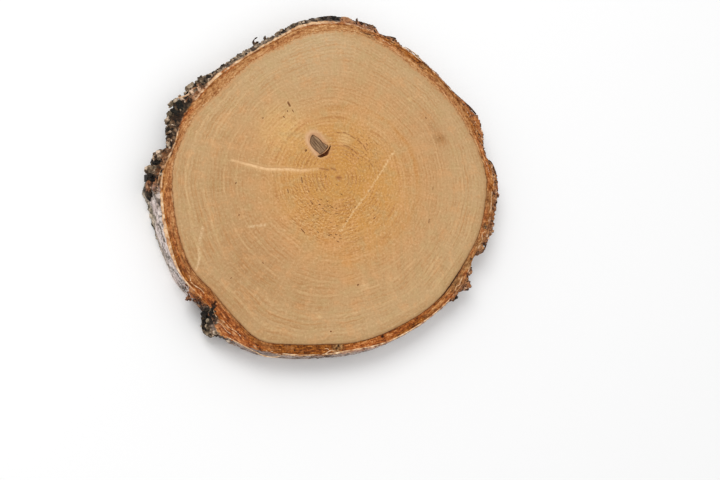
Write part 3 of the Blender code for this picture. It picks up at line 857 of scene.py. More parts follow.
def ring_shell(steps, section):
    """A closed ring from its section at each angle, given as points and their paint."""
    shell = Shell()
    rows = []
    for step in range(steps):
        points = section(360.0 * step / steps)
        rows.append([shell.add(point, **paint) for point, paint in points])
    shell.join(rows, ring=True)
    return shell


def srgb(red, green, blue):
    """A colour as the eye reads it off a screen, from 0 to 255, in the shader's linear values."""
    values = []
    for part in (red, green, blue):
        share = part / 255.0
        values.append(share / 12.92 if share <= 0.04045 else ((share + 0.055) / 1.055) ** 2.4)
    return (*values, 1.0)


class Tree:
    """A material's nodes. Inputs may be numbers, colours or the outputs of other nodes."""

    def __init__(self, name):
        self.material = bpy.data.materials.new(name)
        self.material.use_nodes = True
        self.nodes = self.material.node_tree.nodes
        self.links = self.material.node_tree.links
        self.shader = self.nodes["Principled BSDF"]
        self.colour = None

    def feed(self, socket, value):
        if isinstance(value, bpy.types.NodeSocket):
            self.links.new(value, socket)
        else:
            socket.default_value = value

    def node(self, kind, inputs, output=0, **settings):
        node = self.nodes.new(kind)
        for name, value in settings.items():
            setattr(node, name, value)
        for key, value in inputs.items():
            self.feed(node.inputs[key], value)
        return node.outputs[output]

    def vector(self, operation, inputs, output=0):
        return self.node("ShaderNodeVectorMath", inputs, output=output, operation=operation)

    @functools.cached_property
    def place(self):
        """The point's own place on the slice, in millimetres."""
        coordinates = self.node("ShaderNodeTexCoord", {}, output="Object")
        return self.vector("SCALE", {0: coordinates, "Scale": 1 / MM})

    def stretch(self, x, y, z):
        return self.vector("MULTIPLY", {0: self.place, 1: (x, y, z)})

    def part_of_place(self, axis):
        return self.node("ShaderNodeSeparateXYZ", {0: self.place}, output=axis)

    def drawn(self, turns, along):
        """A place that goes round the pith by the turns and onwards by another value, to draw noise out."""
        spoke = self.vector("NORMALIZE", {0: self.stretch(1.0, 1.0, 0.0)})
        spoke = self.vector("SCALE", {0: spoke, "Scale": turns})
        return self.vector("ADD", {0: spoke, 1: self.node("ShaderNodeCombineXYZ", {"Z": along})})

    def attribute(self, name):
        return self.node("ShaderNodeAttribute", {}, output="Fac", attribute_name=name)

    def math(self, operation, first, second=0.0, clamped=False):
        inputs = {0: first, 1: second}
        return self.node("ShaderNodeMath", inputs, operation=operation, use_clamp=clamped)

    def add(self, first, second):
        return self.math("ADD", first, second)

    def times(self, first, second):
        return self.math("MULTIPLY", first, second)

    def wave(self, value, amount, middle=0.5):
        """A noise's value, centred on 0 and made stronger or weaker."""
        return self.times(self.math("SUBTRACT", value, middle), amount)

    def noise(self, pitch, detail=2.0, roughness=0.5, place=None):
        place = self.place if place is None else place
        inputs = {"Vector": place, "Scale": 1 / pitch, "Detail": detail, "Roughness": roughness}
        return self.node("ShaderNodeTexNoise", inputs)

    def layers(self, value, pitch, detail, roughness):
        """Noise along one number, such as the age of a ring."""
        inputs = {"W": value, "Scale": 1 / pitch, "Detail": detail, "Roughness": roughness}
        return self.node("ShaderNodeTexNoise", inputs, noise_dimensions="1D")

    def span(self, value, low, high, bottom=0.0, top=1.0):
        """Bottom to top, smoothly, as the value goes from low to high."""
        inputs = {"Value": value, "From Min": low, "From Max": high, "To Min": bottom, "To Max": top}
        return self.node("ShaderNodeMapRange", inputs, interpolation_type="SMOOTHSTEP")

    def blend(self, share, first, second):
        inputs = {"Factor": share, "A": first, "B": second}
        node = self.nodes.new("ShaderNodeMix")
        node.data_type = "RGBA"
        for socket in node.inputs:
            if socket.enabled and socket.name in inputs:
                self.feed(socket, inputs[socket.name])
        return next(socket for socket in node.outputs if socket.enabled)

    def ramp(self, value, stops):
        """Colours by value: stops are a value, then red, green and blue."""
        node = self.nodes.new("ShaderNodeValToRGB")
        self.feed(node.inputs["Fac"], value)
        elements = node.color_ramp.elements
        while len(elements) < len(stops):
            elements.new(1.0)
        for element, (position, *colour) in zip(elements, stops):
            element.position = position
            element.color = srgb(*colour)
        return node.outputs["Color"]

    def paint(self, colour, *shares):
        """Lays a colour over what is there, as strongly as all the shares say together."""
        over = srgb(*colour) if isinstance(colour, tuple) else colour
        self.colour = self.blend(functools.reduce(self.times, shares), self.colour, over)

    def tints(self, value, pair, *shares):
        """Lays a pair of colours over what is there, one where the value is high and one where it is low."""
        for low, high, bottom, top, colour in pair:
            self.paint(colour, self.span(value, low, high, bottom, top), *shares)

    def distance(self, x, y):
        """Distance from a point on the upper sawn face."""
        return self.vector("DISTANCE", {0: self.place, 1: (x, y, THICKNESS)}, output="Value")

    def near(self, spot):
        x, y, inner, outer, inside, outside = spot
        return self.span(self.distance(x, y), inner, outer, inside, outside)

    def stroke_distance(self, points, shift=0.0):
        """Distance from a line through points on the upper sawn face, shifted along Y."""
        nearest = None
        for start, end in zip(points, points[1:]):
            first = Vector((start[0], start[1] + shift, THICKNESS))
            way = Vector((end[0], end[1] + shift, THICKNESS)) - first
            from_start = self.vector("SUBTRACT", {0: self.place, 1: first})
            dot = self.vector("DOT_PRODUCT", {0: from_start, 1: way / way.length_squared}, output="Value")
            share = self.math("ADD", dot, 0.0, clamped=True)
            foot = self.vector("SCALE", {0: way, "Scale": share})
            distance = self.vector("DISTANCE", {0: from_start, 1: foot}, output="Value")
            nearest = distance if nearest is None else self.math("MINIMUM", nearest, distance)
        return nearest

    def mark(self, points, look, ragged, *shares):
        """Paints a line through points, with ragged sides."""
        colour, reach, strength = look
        distance = self.add(self.stroke_distance(points), ragged)
        self.paint(colour, self.span(distance, MARK_CORE, reach, strength, 0.0), *shares)

    def finish(self, roughness, height=None, bump=0.0, bump_distance=0.3, specular=0.3):
        self.feed(self.shader.inputs["Base Color"], self.colour)
        self.shader.inputs["Roughness"].default_value = roughness
        self.shader.inputs["Specular IOR Level"].default_value = specular
        if height is not None:
            inputs = {"Height": height, "Strength": bump, "Distance": bump_distance * MM}
            self.feed(self.shader.inputs["Normal"], self.node("ShaderNodeBump", inputs))
        return self.material


class WoodTree(Tree):
    """The sawn wood: its colours by the growth rings, and what the saw and the years left on it."""

    def __init__(self):
        super().__init__("wood")
        self.ring = self.attribute("ring")
        self.x = self.part_of_place("X")
        self.cloud = self.noise(15.0, 3.0)
        self.patchy = self.noise(14.0, 3.0)
        self.fine = self.noise(1.5, 3.0, 0.68)
        self.broken = self.noise(2.6, 3.0, 0.7)
        wobble = self.add(self.times(self.noise(45.0, 1.0), 9.0), self.times(self.noise(12.0), 2.0))
        self.age = self.add(self.ring, wobble)
        self.year = self.math("FRACT", self.math("DIVIDE", self.age, RING_PITCH))
        self.rough = self.times(self.near(ROUGH_SPOT), self.span(self.patchy, 0.35, 0.6, 0.5, 1.2))
        self.fibres = self.drawn(20.0, self.age)
        self.torn = self.noise(1.0, 2.0, 0.6, self.fibres)

    def paint_stains(self):
        self.colour = self.ramp(self.math("DIVIDE", self.ring, MEAN_WOOD_RADIUS), WOOD_COLOURS)
        warm = self.span(self.noise(24.0), 0.35, 0.7, 0.15, 0.55)
        self.paint((204, 140, 54), warm, self.near(HEART_SPOT))
        cloudy = self.span(self.cloud, 0.3, 0.7, 0.6, 1.4)
        for x, y, reach, strength, colour in STAINS:
            self.paint(colour, self.near((x, y, 0.0, reach, strength, 0.0)), cloudy)

    def paint_rings(self):
        inward = self.span(self.ring, 12.0, 70.0, 1.2, 0.8)
        seen = self.times(self.span(self.patchy, 0.36, 0.62, 0.2, 1.0), inward)
        self.tints(self.layers(self.age, 3.6, 5.0, 0.72), FINE_BANDS, seen)
        outer = self.times(self.span(self.ring, 44.0, 84.0), self.span(self.patchy, 0.36, 0.6, 0.2, 1.0))
        self.tints(self.layers(self.age, 3.8, 1.0, 0.4), BROAD_BANDS, outer, self.near(RINGLESS_SPOT))
        line = self.times(self.span(self.year, 0.3, 0.9), self.span(self.year, 0.93, 1.0, 1.0, 0.0))
        self.paint((170, 110, 52), line, seen, self.span(self.ring, 8.0, 46.0, 0.75, 0.34))
        edge = self.add(self.distance(*HEART_RING_MIDDLE), self.wave(self.patchy, 5.0))
        edge = self.span(self.math("ABSOLUTE", self.add(edge, -HEART_RING_RADIUS)), 0.4, 3.2, 0.55, 0.0)
        patches = self.span(self.cloud, 0.36, 0.6, 0.3, 1.0)
        self.paint((190, 128, 58), edge, self.span(self.x, -50.0, 50.0, 0.3, 1.0), patches)

    def paint_grain(self):
        outward = self.vector("LENGTH", {0: self.stretch(1.0, 1.0, 0.0)}, output="Value")
        rays = self.drawn(62.0, self.math("DIVIDE", outward, RAY_LENGTH))
        self.tints(self.noise(1.0, place=rays), RAYS)
        self.tints(self.noise(8.0, 3.0, 0.6), SOFT_TINTS)
        self.tints(self.noise(3.0, place=self.stretch(1.0, 0.07, 1.0)), SAW_MARKS, self.near(SAWN_SPOT))
        # Torn fibres: the torn noise less the same noise a little aside, tinted dark where it rises and pale
        # where it falls, as painted shade and painted highlight of the torn grain
        beside = self.vector("ADD", {0: self.fibres, 1: (0.2, -0.2, 0.45)})
        torn_shading = self.math("SUBTRACT", self.torn, self.noise(1.0, 2.0, 0.6, beside))
        self.tints(torn_shading, TORN_FIBRE_SHADING, self.rough)
        arcs = self.times(self.near(ARC_SPOT), self.span(self.torn, 0.56, 0.64))
        self.paint((140, 86, 38), arcs, self.span(self.year, 0.2, 0.6, 0.35, 1.0))
        self.tints(self.fine, SPECKLE, self.span(self.ring, 34.0, 76.0, 1.0, 0.65))

    def paint_marks(self):
        crack = self.stroke_distance(RAY_CRACK)
        ends = (self.span(self.x, -76.0, -60.0, 0.45, 1.0), self.span(self.x, -34.0, -13.0, 1.0, 0.3))
        whole = self.times(self.times(*ends), self.span(self.broken, 0.35, 0.55, 0.45, 1.0))
        glow = self.times(self.span(crack, 0.6, 3.4, 0.4, 0.0), self.span(self.x, -74.0, -56.0, 0.2, 1.0))
        self.paint((226, 180, 126), glow, whole)
        self.paint((234, 192, 142), self.span(crack, 0.2, 1.5, 0.82, 0.0), whole)
        shade = self.stroke_distance(RAY_CRACK, shift=1.1)
        self.paint((160, 110, 60), self.span(shade, 0.1, 0.7, 0.4, 0.0), whole)
        ragged = self.wave(self.broken, 2.4)
        self.mark(SCRATCH, SCRATCH_LOOK, ragged, self.span(self.fine, 0.4, 0.6, 1.0, 0.2))
        for points in PALE_MARKS:
            self.mark(points, PALE_MARK_LOOK, 0.0, self.span(self.broken, 0.4, 0.6, 0.15, 1.0))
        for points in CHECKS:
            ragged = self.wave(self.fine, 1.6)
            self.mark(points, CHECK_LOOK, ragged, self.span(self.broken, 0.42, 0.54, 0.15, 1.0))

    def paint_knot_and_pith(self):
        halo = self.add(self.stroke_distance(KNOT_HALO), self.wave(self.broken, 2.0))
        self.paint((216, 172, 134), self.span(halo, 5.0, 8.8, 0.8, 0.0), self.near(HALO_SPOT))
        self.paint((176, 124, 80), self.span(halo, 4.6, 5.6, 0.5, 0.0))
        self.tints(self.noise(0.9, 2.0, 0.7, self.stretch(1.6, 1.0, 1.0)), TUFT, self.near(TORN_SPOT))
        self.paint((158, 92, 50), self.near(PITH_SPOT))
        for points in PITH_LINES:
            ragged = self.wave(self.fine, 2.0)
            self.mark(points, PITH_LOOK, ragged, self.span(self.broken, 0.35, 0.5, 0.4, 1.0))

    def paint_edges(self):
        """The rim, blurred or crisp, with a dark line at a crisp rim that is partly the cambium and partly
        painted shade in the open seam, and the walls of the hole round the knot, painted dark brown, partly
        as painted shade.
        """
        rim = self.attribute("rim")
        soft = self.attribute("soft")
        to_rim = self.add(rim, self.wave(self.broken, -7.0))
        self.paint(self.ramp(self.fine, RIM_COLOURS), self.span(to_rim, 0.0, 2.4, 0.95, 0.0), soft)
        # Along a crisp rim the wood darkens in its last millimetre: partly the cambium's dark line, partly
        # painted shade in the open seam
        crisp = self.math("SUBTRACT", 1.0, soft)
        self.paint((140, 88, 46), self.span(rim, 0.1, 0.9, 0.5, 0.0), crisp)
        # Below the face near the knot the walls are painted dark brown: the hole's own brown and painted
        # shade in the hole
        sunk_shade = self.span(self.part_of_place("Z"), THICKNESS - 0.9, THICKNESS - 0.1, 1.0, 0.0)
        self.paint(self.ramp(self.noise(1.2, 3.0), HOLLOW_AND_SHADE_COLOURS), sunk_shade, self.near(KNOT_SPOT))


def wood_material():
    tree = WoodTree()
    tree.paint_stains()
    tree.paint_rings()
    tree.paint_grain()
    tree.paint_marks()
    tree.paint_knot_and_pith()
    tree.paint_edges()
    relief = tree.add(tree.times(tree.times(tree.torn, 1.6), tree.rough), tree.fine)
    return tree.finish(0.68, relief, bump=0.35, bump_distance=0.2)


def knot_material():
    tree = Tree("knot")
    grain = tree.noise(0.7, 3.0, 0.6)
    tree.colour = tree.ramp(tree.add(tree.attribute("streak"), tree.times(grain, 0.5)), KNOT_COLOURS)
    tree.paint((62, 34, 18), tree.span(tree.attribute("rim"), 0.0, 1.0, 0.0, 0.8))
    tree.paint((176, 144, 112), tree.span(tree.attribute("lip"), 0.2, 0.9, 0.0, 0.85))
    return tree.finish(0.72, grain, bump=0.5, bump_distance=0.3)


def flesh(tree):
    """Granular brown bark between wood and cork: dark where its tone is 0, pale where it is 1."""
    tone = tree.attribute("tone")
    along = tree.attribute("outward")
    turns = BARK_RADIUS / FLESH_STRETCH
    streaks = tree.noise(1.0, 4.0, 0.6, tree.drawn(turns, along))
    drawn_out = tree.drawn(0.3 * turns, along)
    grain = tree.add(tree.times(streaks, 0.85), tree.wave(tree.noise(1.0, 3.0, 0.7), 0.55, middle=0.42))
    grain = tree.add(grain, tree.wave(tree.noise(2.4, place=drawn_out), 0.25, middle=0.48))
    colour = tree.blend(tone, tree.ramp(grain, DARK_FLESH), tree.ramp(grain, PALE_FLESH))
    redder = tree.span(tree.noise(3.4, place=drawn_out), 0.46, 0.62, 0.0, 0.55)
    redder = tree.times(redder, tree.span(tone, 0.3, 1.0, 1.0, 0.35))
    colour = tree.blend(redder, colour, tree.ramp(grain, RED_FLESH))
    return tree.blend(tree.attribute("dull"), colour, tree.ramp(grain, DULL_FLESH)), grain


def inner_bark_material():
    tree = Tree("inner_bark")
    tree.colour, grain = flesh(tree)
    # Pit: darker in the grain's hollows, the deeper the darker: the grain's dark specks, and painted shade
    # in the hollows
    tree.paint((84, 40, 14), tree.attribute("pit"), 0.3)
    # Seam: darker brown along the open seam, partly the cambium's dark line and partly painted shade
    tree.paint((84, 46, 22), tree.attribute("seam"), 0.8)
    # Painted shade in the holes and the drying gap
    tree.paint(HOLE_SHADE_COLOUR, tree.attribute("hole"))
    return tree.finish(0.85, grain, bump=0.6, bump_distance=0.5, specular=0.2)


def outer_bark_material():
    tree = Tree("outer_bark")
    grit = tree.noise(2.2, 4.0, 0.62)
    value = tree.add(tree.attribute("light"), tree.wave(grit, 1.0))
    rugged = tree.blend(tree.attribute("warmth"), tree.ramp(value, GREY_BARK), tree.ramp(value, BROWN_BARK))
    flat = tree.stretch(1.0, 1.0, SHEET_FLATNESS)
    tree.colour = tree.ramp(tree.noise(9.0, 3.0, 0.6, flat), WHITE_BARK)
    tree.paint((66, 54, 49), tree.span(tree.noise(5.0, 3.0, 0.6, flat), 0.53, 0.58, 0.0, 0.85))
    dark_bark = tree.ramp(tree.math("SUBTRACT", value, 0.3), GREY_BARK)
    tree.paint(dark_bark, tree.span(tree.noise(6.0, 5.0, 0.78), 0.51, 0.6, 0.0, 0.9))
    tree.colour = tree.blend(tree.attribute("paper"), rugged, tree.colour)
    tree.paint(flesh(tree)[0], tree.attribute("flesh"))
    tree.paint((22, 16, 12), tree.span(tree.attribute("crack"), 0.2, 1.0, 0.0, 0.85))
    # Painted shade in the holes and the drying gap
    tree.paint(HOLE_SHADE_COLOUR, tree.attribute("hole"))
    tree.paint(tree.ramp(grit, CORK_COLOURS), tree.attribute("cork"))
    return tree.finish(0.82, grit, bump=0.55, bump_distance=0.5, specular=0.25)


def fleck_material():
    tree = Tree("flecks")
    tree.colour = tree.ramp(tree.noise(0.9), FLECK_COLOURS)
    return tree.finish(0.7)


def smooth_loop(outline, per_side):
    """A closed smooth curve through the outline's points."""
    xs = [x for x, y in outline]
    ys = [y for x, y in outline]
    count = len(outline) * per_side
    return [(around(xs, 360.0 * k / count), around(ys, 360.0 * k / count)) for k in range(count)]


def smooth_path(points, spacing):
    """An open smooth curve through points, with a point about every so many millimetres."""
    ends = [2 * points[0] - points[1], *points, 2 * points[-1] - points[-2]]
    path = []
    for before, start, end, after in zip(ends, ends[1:], ends[2:], ends[3:]):
        steps = max(round((end - start).length / spacing), 1)
        path += [cubic(before, start, end, after, step / steps) for step in range(steps)]
    return [*path, points[-1]]


def tapered(outline, taper):
    """The outline drawn in towards its middle."""
    middle_x = sum(x for x, y in outline) / len(outline)
    middle_y = sum(y for x, y in outline) / len(outline)
    return [(mix(middle_x, x, taper), mix(middle_y, y, taper)) for x, y in outline]


def cutter(outline, depth, taper):
    """A closed guide for a hole in the upper face."""
    shell = Shell()
    rows = []
    for loop, height in ((tapered(outline, taper), THICKNESS - depth), (outline, THICKNESS + 2.0)):
        rows.append([shell.add(Vector((x, y, height))) for x, y in loop])
    shell.close(rows)
    return put("cutter", shell.mesh("cutter"))


def cut(data, guides):
    """The mesh with the guides cut out of it."""
    thing = put("uncut", data)
    for guide in guides:
        modifier = thing.modifiers.new(guide.name, "BOOLEAN")
        modifier.operation = "DIFFERENCE"
        modifier.solver = "EXACT"
        modifier.object = guide
    ready = thing.evaluated_get(bpy.context.evaluated_depsgraph_get())
    result = bpy.data.meshes.new_from_object(ready)
    for used in (thing, *guides):
        bpy.data.objects.remove(used, do_unlink=True)
    return result


def wood_path(angle):
    """The wood's section outwards over the upper face, down its edge and back in below."""
    rim = seam_radius(angle)
    inside = rim - WOOD_BEVEL
    upper = [(rim * row / WOOD_ROWS, THICKNESS) for row in range(1, WOOD_ROWS)]
    edge = [(inside, THICKNESS), (rim, THICKNESS - 0.2), (rim, THICKNESS / 2), (rim, 0.2), (inside, 0.0)]
    lower = [(rim * row / WOOD_LOWER_ROWS, 0.0) for row in range(WOOD_LOWER_ROWS - 1, 0, -1)]
    return upper + edge + lower


def wood_paint(point):
    """Radius of the growth ring through a point, its distance to the bark, and how that edge blurs."""
    radius = point.xy.length
    angle = angle_of(point)
    rim = seam_radius(angle)
    share = min(radius / rim, 1.0)
    ring = radius * (1.0 + (MEAN_WOOD_RADIUS / rim - 1.0) * share * share)
    return ring, rim - radius, around(EDGE_BLUR, angle)


def add_wood(material):
    shell = Shell()
    upper = shell.add(Vector((0.0, 0.0, THICKNESS)))
    lower = shell.add(Vector((0.0, 0.0, 0.0)))
    columns = []
    for step in range(WOOD_STEPS):
        angle = 360.0 * step / WOOD_STEPS
        columns.append([shell.add(point_at(angle, radius, height)) for radius, height in wood_path(angle)])
    for column, following in zip(columns, columns[1:] + columns[:1]):
        shell.faces.append((upper, column[0], following[0]))
        for row in range(len(column) - 1):
            shell.faces.append((column[row], column[row + 1], following[row + 1], following[row]))
        shell.faces.append((column[-1], lower, following[-1]))
    data = cut(shell.mesh("wood"), [
        cutter(smooth_loop(KNOT_OUTLINE, 4), KNOT_HOLE_DEPTH, KNOT_HOLE_TAPER),
        cutter(smooth_loop(GAP_OUTLINE, 4), GAP_DEPTH, GAP_TAPER),
    ])
    data.name = "wood"
    paint = zip(*(wood_paint(vertex.co / MM) for vertex in data.vertices))
    dress("wood", data, dict(zip(("ring", "rim", "soft"), paint)), material)


def add_knot(material):
    """The dead stub: a plug in its hole, with long streaks and a broken lip towards the gap."""
    shell = Shell()
    outline = tapered(smooth_loop(KNOT_OUTLINE, 8), 1.0 - KNOT_CLEARANCE / KNOT_HALF_WIDTH)
    middle = Vector((sum(x for x, y in outline), sum(y for x, y in outline))) / len(outline)
    grain = Vector(KNOT_GRAIN)
    rows = []
    flat_share = KNOT_LEVELS[-1][0]
    inner = [(flat_share * (1.0 - row / KNOT_ROWS), 0.0) for row in range(1, KNOT_ROWS)]
    for share, rise in (*KNOT_LEVELS, *inner):
        row = []
        for x, y in outline:
            flat = mix(middle, Vector((x, y)), share)
            along = (flat - middle).dot(grain)
            side = (flat - middle).dot(Vector((-grain.y, grain.x)))
            streak = noise(Vector((side / 0.8, along / 6.0, 0.0)))
            fine = noise(Vector((side / 0.35, along / 2.5, 4.0)))
            lip = hump(along - KNOT_LIP_PLACE, KNOT_LIP_HALF_WIDTH)
            height = THICKNESS - KNOT_SINK + rise + 0.3 * streak + 0.12 * fine + 0.25 * lip
            point = Vector((flat.x, flat.y, height))
            rim = clamp((share - flat_share) / 0.1)
            row.append(shell.add(point, streak=0.45 + 0.5 * streak, rim=rim, lip=lip * clamp(share)))
        rows.append(row)
    shell.close(rows)
    shell.make("knot_stub", "knot", material)


def seam_width(angle):
    gap = angle_hump(angle, DRYING_GAP_ANGLE, DRYING_GAP_HALF_ANGLE)
    return SEAM_WIDTH * (1.0 - around(EDGE_BLUR, angle)) + DRYING_GAP_WIDTH * gap


def bark_tone(angle, across, point):
    """How pale the bark's flesh is at a share of the way from wood to cork, with soft patches."""
    across = clamp(across)
    tone = mix(around(INNER_LIGHT_BY_WOOD, angle), around(INNER_LIGHT_BY_CORK, angle), across ** 0.7)
    tone -= 0.3 * hump(across - 0.9, 0.14)
    streak = angle_hump(angle, STREAK_ANGLE, STREAK_HALF_ANGLE)
    tone -= STREAK_STRENGTH * streak * hump(across - STREAK_ACROSS, STREAK_HALF_WIDTH)
    uneven = 0.4 * noise(point / 4.0) + 0.25 * noise(point / 1.7)
    return clamp(tone + (1.0 - 0.6 * clamp(tone)) * uneven)


def spots_at(table, point, unevenness, pitch):
    """The strength at a point of each of a table's spots near it, with soft uneven edges."""
    for angle, radius, reach, strength in table:
        apart = (point.xy - point_at(angle, radius, 0.0).xy).length
        if apart < 2.0 * reach:
            yield strength * hump(apart * (1.0 + unevenness * noise(point / pitch)), reach) ** 0.5


def dullness(point):
    """From 0 to 1, how dull brown the sawn bark is at a point."""
    return clamp(sum(spots_at(DULL_SPOTS, point, 0.5, 2.0)) * (0.9 + 0.5 * noise(point / 1.5)))


def pit_depth(point):
    """How deep the small holes are at a point of the sawn bark."""
    return max(spots_at(PITS, point, 0.8, 1.3), default=0.0)


def inner_bark_section(angle):
    """The inner bark's section at an angle: its crumbly sawn faces, and plain walls that don't show."""
    crisp = 1.0 - around(EDGE_BLUR, angle)
    seam = seam_width(angle)
    start = seam_radius(angle) + seam
    end = inner_bark_radius(angle) + BARK_OVERLAP
    depth = SEAM_DEPTH * max(crisp, 0.2)
    # The points down in the open seam get dark paint: darkest flesh, full grain and seam darkening, and the
    # hole colour where the drying gap is wide, as painted shade in the seam
    dark = {"tone": 0.0, "pit": 1.0, "seam": 1.0, "hole": clamp(2.0 * seam - 0.2), "dull": 0.0}
    section = [
        (point_at(angle, start - seam - BARK_OVERLAP, THICKNESS - depth - 0.4), dark),
        (point_at(angle, start, THICKNESS - depth), dark),
    ]
    for row in range(INNER_ROWS + 1):
        across = row / INNER_ROWS
        flat = point_at(angle, mix(start, end, across), THICKNESS)
        grain = abs(noise(flat / GRAIN_PITCH)) + 0.4 * abs(noise(flat / (0.45 * GRAIN_PITCH)))
        pit = pit_depth(flat)
        paint = {
            "tone": bark_tone(angle, across, flat),
            # How deep a point lies in the grain, which darkens it: partly the grain's dark specks, partly
            # painted shade
            "pit": clamp(1.6 * grain - 0.2),
            # Near the wood along a crisp seam the flesh is painted darker: partly the cambium's dark line,
            # partly painted shade in the open seam
            "seam": crisp * clamp(1.0 - across * 8.0),
            "hole": clamp(1.6 * pit),
            "dull": dullness(flat),
        }
        flat.z -= INNER_BARK_DROP + GRAIN_HEIGHT * grain + pit
        section.append((flat, paint))
    for row in range(INNER_LOWER_ROWS + 1):
        across = 1.0 - row / INNER_LOWER_ROWS
        flat = point_at(angle, mix(start - 0.4, end, across), 0.0)
        grain = abs(noise(flat / GRAIN_PITCH))
        tone = bark_tone(angle, across, flat)
        paint = {"tone": tone, "pit": clamp(1.6 * grain - 0.2), "seam": 0.0, "hole": 0.0, "dull": 0.0}
        flat.z += INNER_BARK_DROP + GRAIN_HEIGHT * grain
        section.append((flat, paint))
    return section


def wall_point(angle, height):
    """A point on the bark's wall with its fine relief, and its paint."""
    radius = wall_radius(angle, height)
    point = point_at(angle, radius, height)
    stray = 5.0 * noise(point / 9.0) + 2.0 * noise(point / 3.0)
    paper, warmth, light = bark_surface(round(angle + stray, 1))[2:]
    worn = angle_hump(angle, WORN_ANGLE, WORN_HALF_ANGLE)
    paper *= 1.0 - worn * clamp((WORN_HEIGHT - height + stray) / 3.0)
    rough = 1.0 - paper
    plate, own = plates(point, mix(RUGGED_PLATE_WIDTH, PAPERY_PLATE_WIDTH, paper))
    fissure = rough * (0.9 * (plate - 0.7) + 0.5 * noise(point / 1.1))
    stretched = Vector((point.x, point.y, 3.0 * point.z))
    sheets = 0.18 * math.floor(3.0 * noise(stretched / 14.0)) + 0.12 * noise(stretched / 2.0)
    radius += fissure + paper * sheets
    radius = max(radius, inner_bark_radius(angle) + THINNEST_OUTER_BARK)
    shade = 0.34 * (own - 0.5) + 0.5 * noise(point / 4.0)
    paint = {
        **PLAIN_BARK,
        "light": clamp(light + rough * shade),
        "paper": paper,
        "warmth": warmth,
        "crack": rough * clamp(1.0 - 1.8 * plate),
    }
    return point_at(angle, radius, height), paint


def sawn_point(angle, radius, cork, upper):
    """A point on the outer bark's sawn face, crumbled outside its pale cork line, and its paint."""
    flat = point_at(angle, radius, THICKNESS if upper else 0.0)
    stray = 2.2 * noise(flat / 3.0) + 1.0 * noise(flat / 1.2)
    fleshy, warmth, light, clear = face_look(round(angle + stray, 1))
    paper = bark_surface(angle)[2]
    width = max(around(CORK_WIDTHS, angle), 0.2)
    wave = 0.7 * noise(flat / 3.0)
    line = 1.0 - clamp((radius - cork + wave - width) / 0.4 + 0.5)
    broken = clamp(1.4 * clear - 0.25 + 1.6 * noise(flat / 2.4))
    crumble = abs(noise(flat / 1.6)) + 0.5 * abs(noise(flat / 0.7))
    loose = CRUMBLE_DEPTH * (1.0 - line) * (1.0 - 0.6 * paper) * (1.0 - 0.45 * fleshy)
    plate, own = plates(flat, SAWN_PLATE_WIDTH)
    paint = {
        "light": clamp(light + 0.6 * (own - 0.55)),
        "paper": paper * (1.0 - fleshy) * (1.0 - line) * 0.7,
        "warmth": warmth,
        "crack": (1.0 - line) * (1.0 - paper) * (1.0 - 0.6 * fleshy) * clamp(1.0 - 2.2 * plate),
        "cork": line * broken,
        "flesh": max(fleshy, line),
        "tone": bark_tone(angle, 1.0, flat),
        "hole": clamp(1.6 * pit_depth(flat)) if upper else 0.0,
        "dull": dullness(flat) if upper else 0.0,
    }
    drop = CORK_DROP + loose * crumble
    flat.z += -drop if upper else drop
    if upper:
        flat.z -= pit_depth(flat)
    return flat, paint


def outer_bark_section(angle):
    """The outer bark's section at an angle: cork line, broken sawn face, wall and lower face."""
    cork = inner_bark_radius(angle)
    top = THICKNESS - EDGE_ROUND
    faces = []
    for upper, edge_height, count in ((True, top, OUTER_FACE_ROWS), (False, EDGE_ROUND, OUTER_LOWER_ROWS)):
        rim = wall_point(angle, edge_height)[0].xy.length - 0.6 * EDGE_ROUND
        rim = max(rim, cork + 0.4)
        radii = [mix(cork, rim, row / (count - 1)) for row in range(count)]
        faces.append([sawn_point(angle, radius, cork, upper) for radius in radii])
    last = OUTER_WALL_ROWS - 1
    wall = [wall_point(angle, mix(top, EDGE_ROUND, row / last)) for row in range(OUTER_WALL_ROWS)]
    return [*faces[0], *wall, *faces[1][::-1]]


@functools.cache
def ball(detail):
    """Points and faces of a unit ball made of triangles."""
    mesh = bmesh.new()
    bmesh.ops.create_icosphere(mesh, subdivisions=detail, radius=1.0)
    mesh.verts.index_update()
    points = [vertex.co.copy() for vertex in mesh.verts]
    faces = [[vertex.index for vertex in face.verts] for face in mesh.faces]
    mesh.free()
    return points, faces


def add_chunk(shell, place, angle, halves, light, warmth, detail):
    """A broken lump or grain of bark: a rough rounded block, tilted a little at random."""
    seed = Vector((random.uniform(0.0, 99.0), 0.0, 0.0))
    tilt = Euler([random.gauss(0.0, CHUNK_TILT) for axis in range(3)]).to_matrix()
    before, after = (point_at(side, edge_radius(side), 0.0) for side in (angle - 1.0, angle + 1.0))
    edge = after - before
    turn = Matrix.Rotation(math.atan2(-edge.x, edge.y), 3, "Z") @ tilt
    points, faces = ball(detail)
    first = len(shell.points)
    for point in points:
        block = point / mix(1.0, max(abs(part) for part in point), CHUNK_SQUARENESS)
        rough = 1.0 + 0.4 * noise(1.2 * point + seed) + 0.3 * noise(2.6 * point + seed)
        corner = Vector([part * half * rough for part, half in zip(block, halves)])
        spot = place + turn @ corner
        if detail > GRAIN_DETAIL:
            spot += 0.35 * noise(spot / 0.9) * point
        spot.z = clamp(spot.z, 0.3, THICKNESS - 0.05 - 0.7 * abs(noise(spot / 1.4)))
        plate, own = plates(spot, CHUNK_PLATE_WIDTH)
        paint = {
            **PLAIN_BARK,
            "light": clamp(light + (0.3 + light) * (own - 0.5)),
            "warmth": warmth,
            "crack": 0.7 * clamp(1.0 - 2.4 * plate),
        }
        shell.add(spot, **paint)
    shell.faces += [[first + index for index in face] for face in faces]


def add_bark_lumps(material):
    shell = Shell()
    for angle, radius, height, out, along, up, light, warmth in BARK_PIECES:
        place = point_at(angle, radius, height)
        add_chunk(shell, place, angle, (out, along, up), light, warmth, LUMP_DETAIL)
    shell.make("bark_lumps", "outer_bark", material)


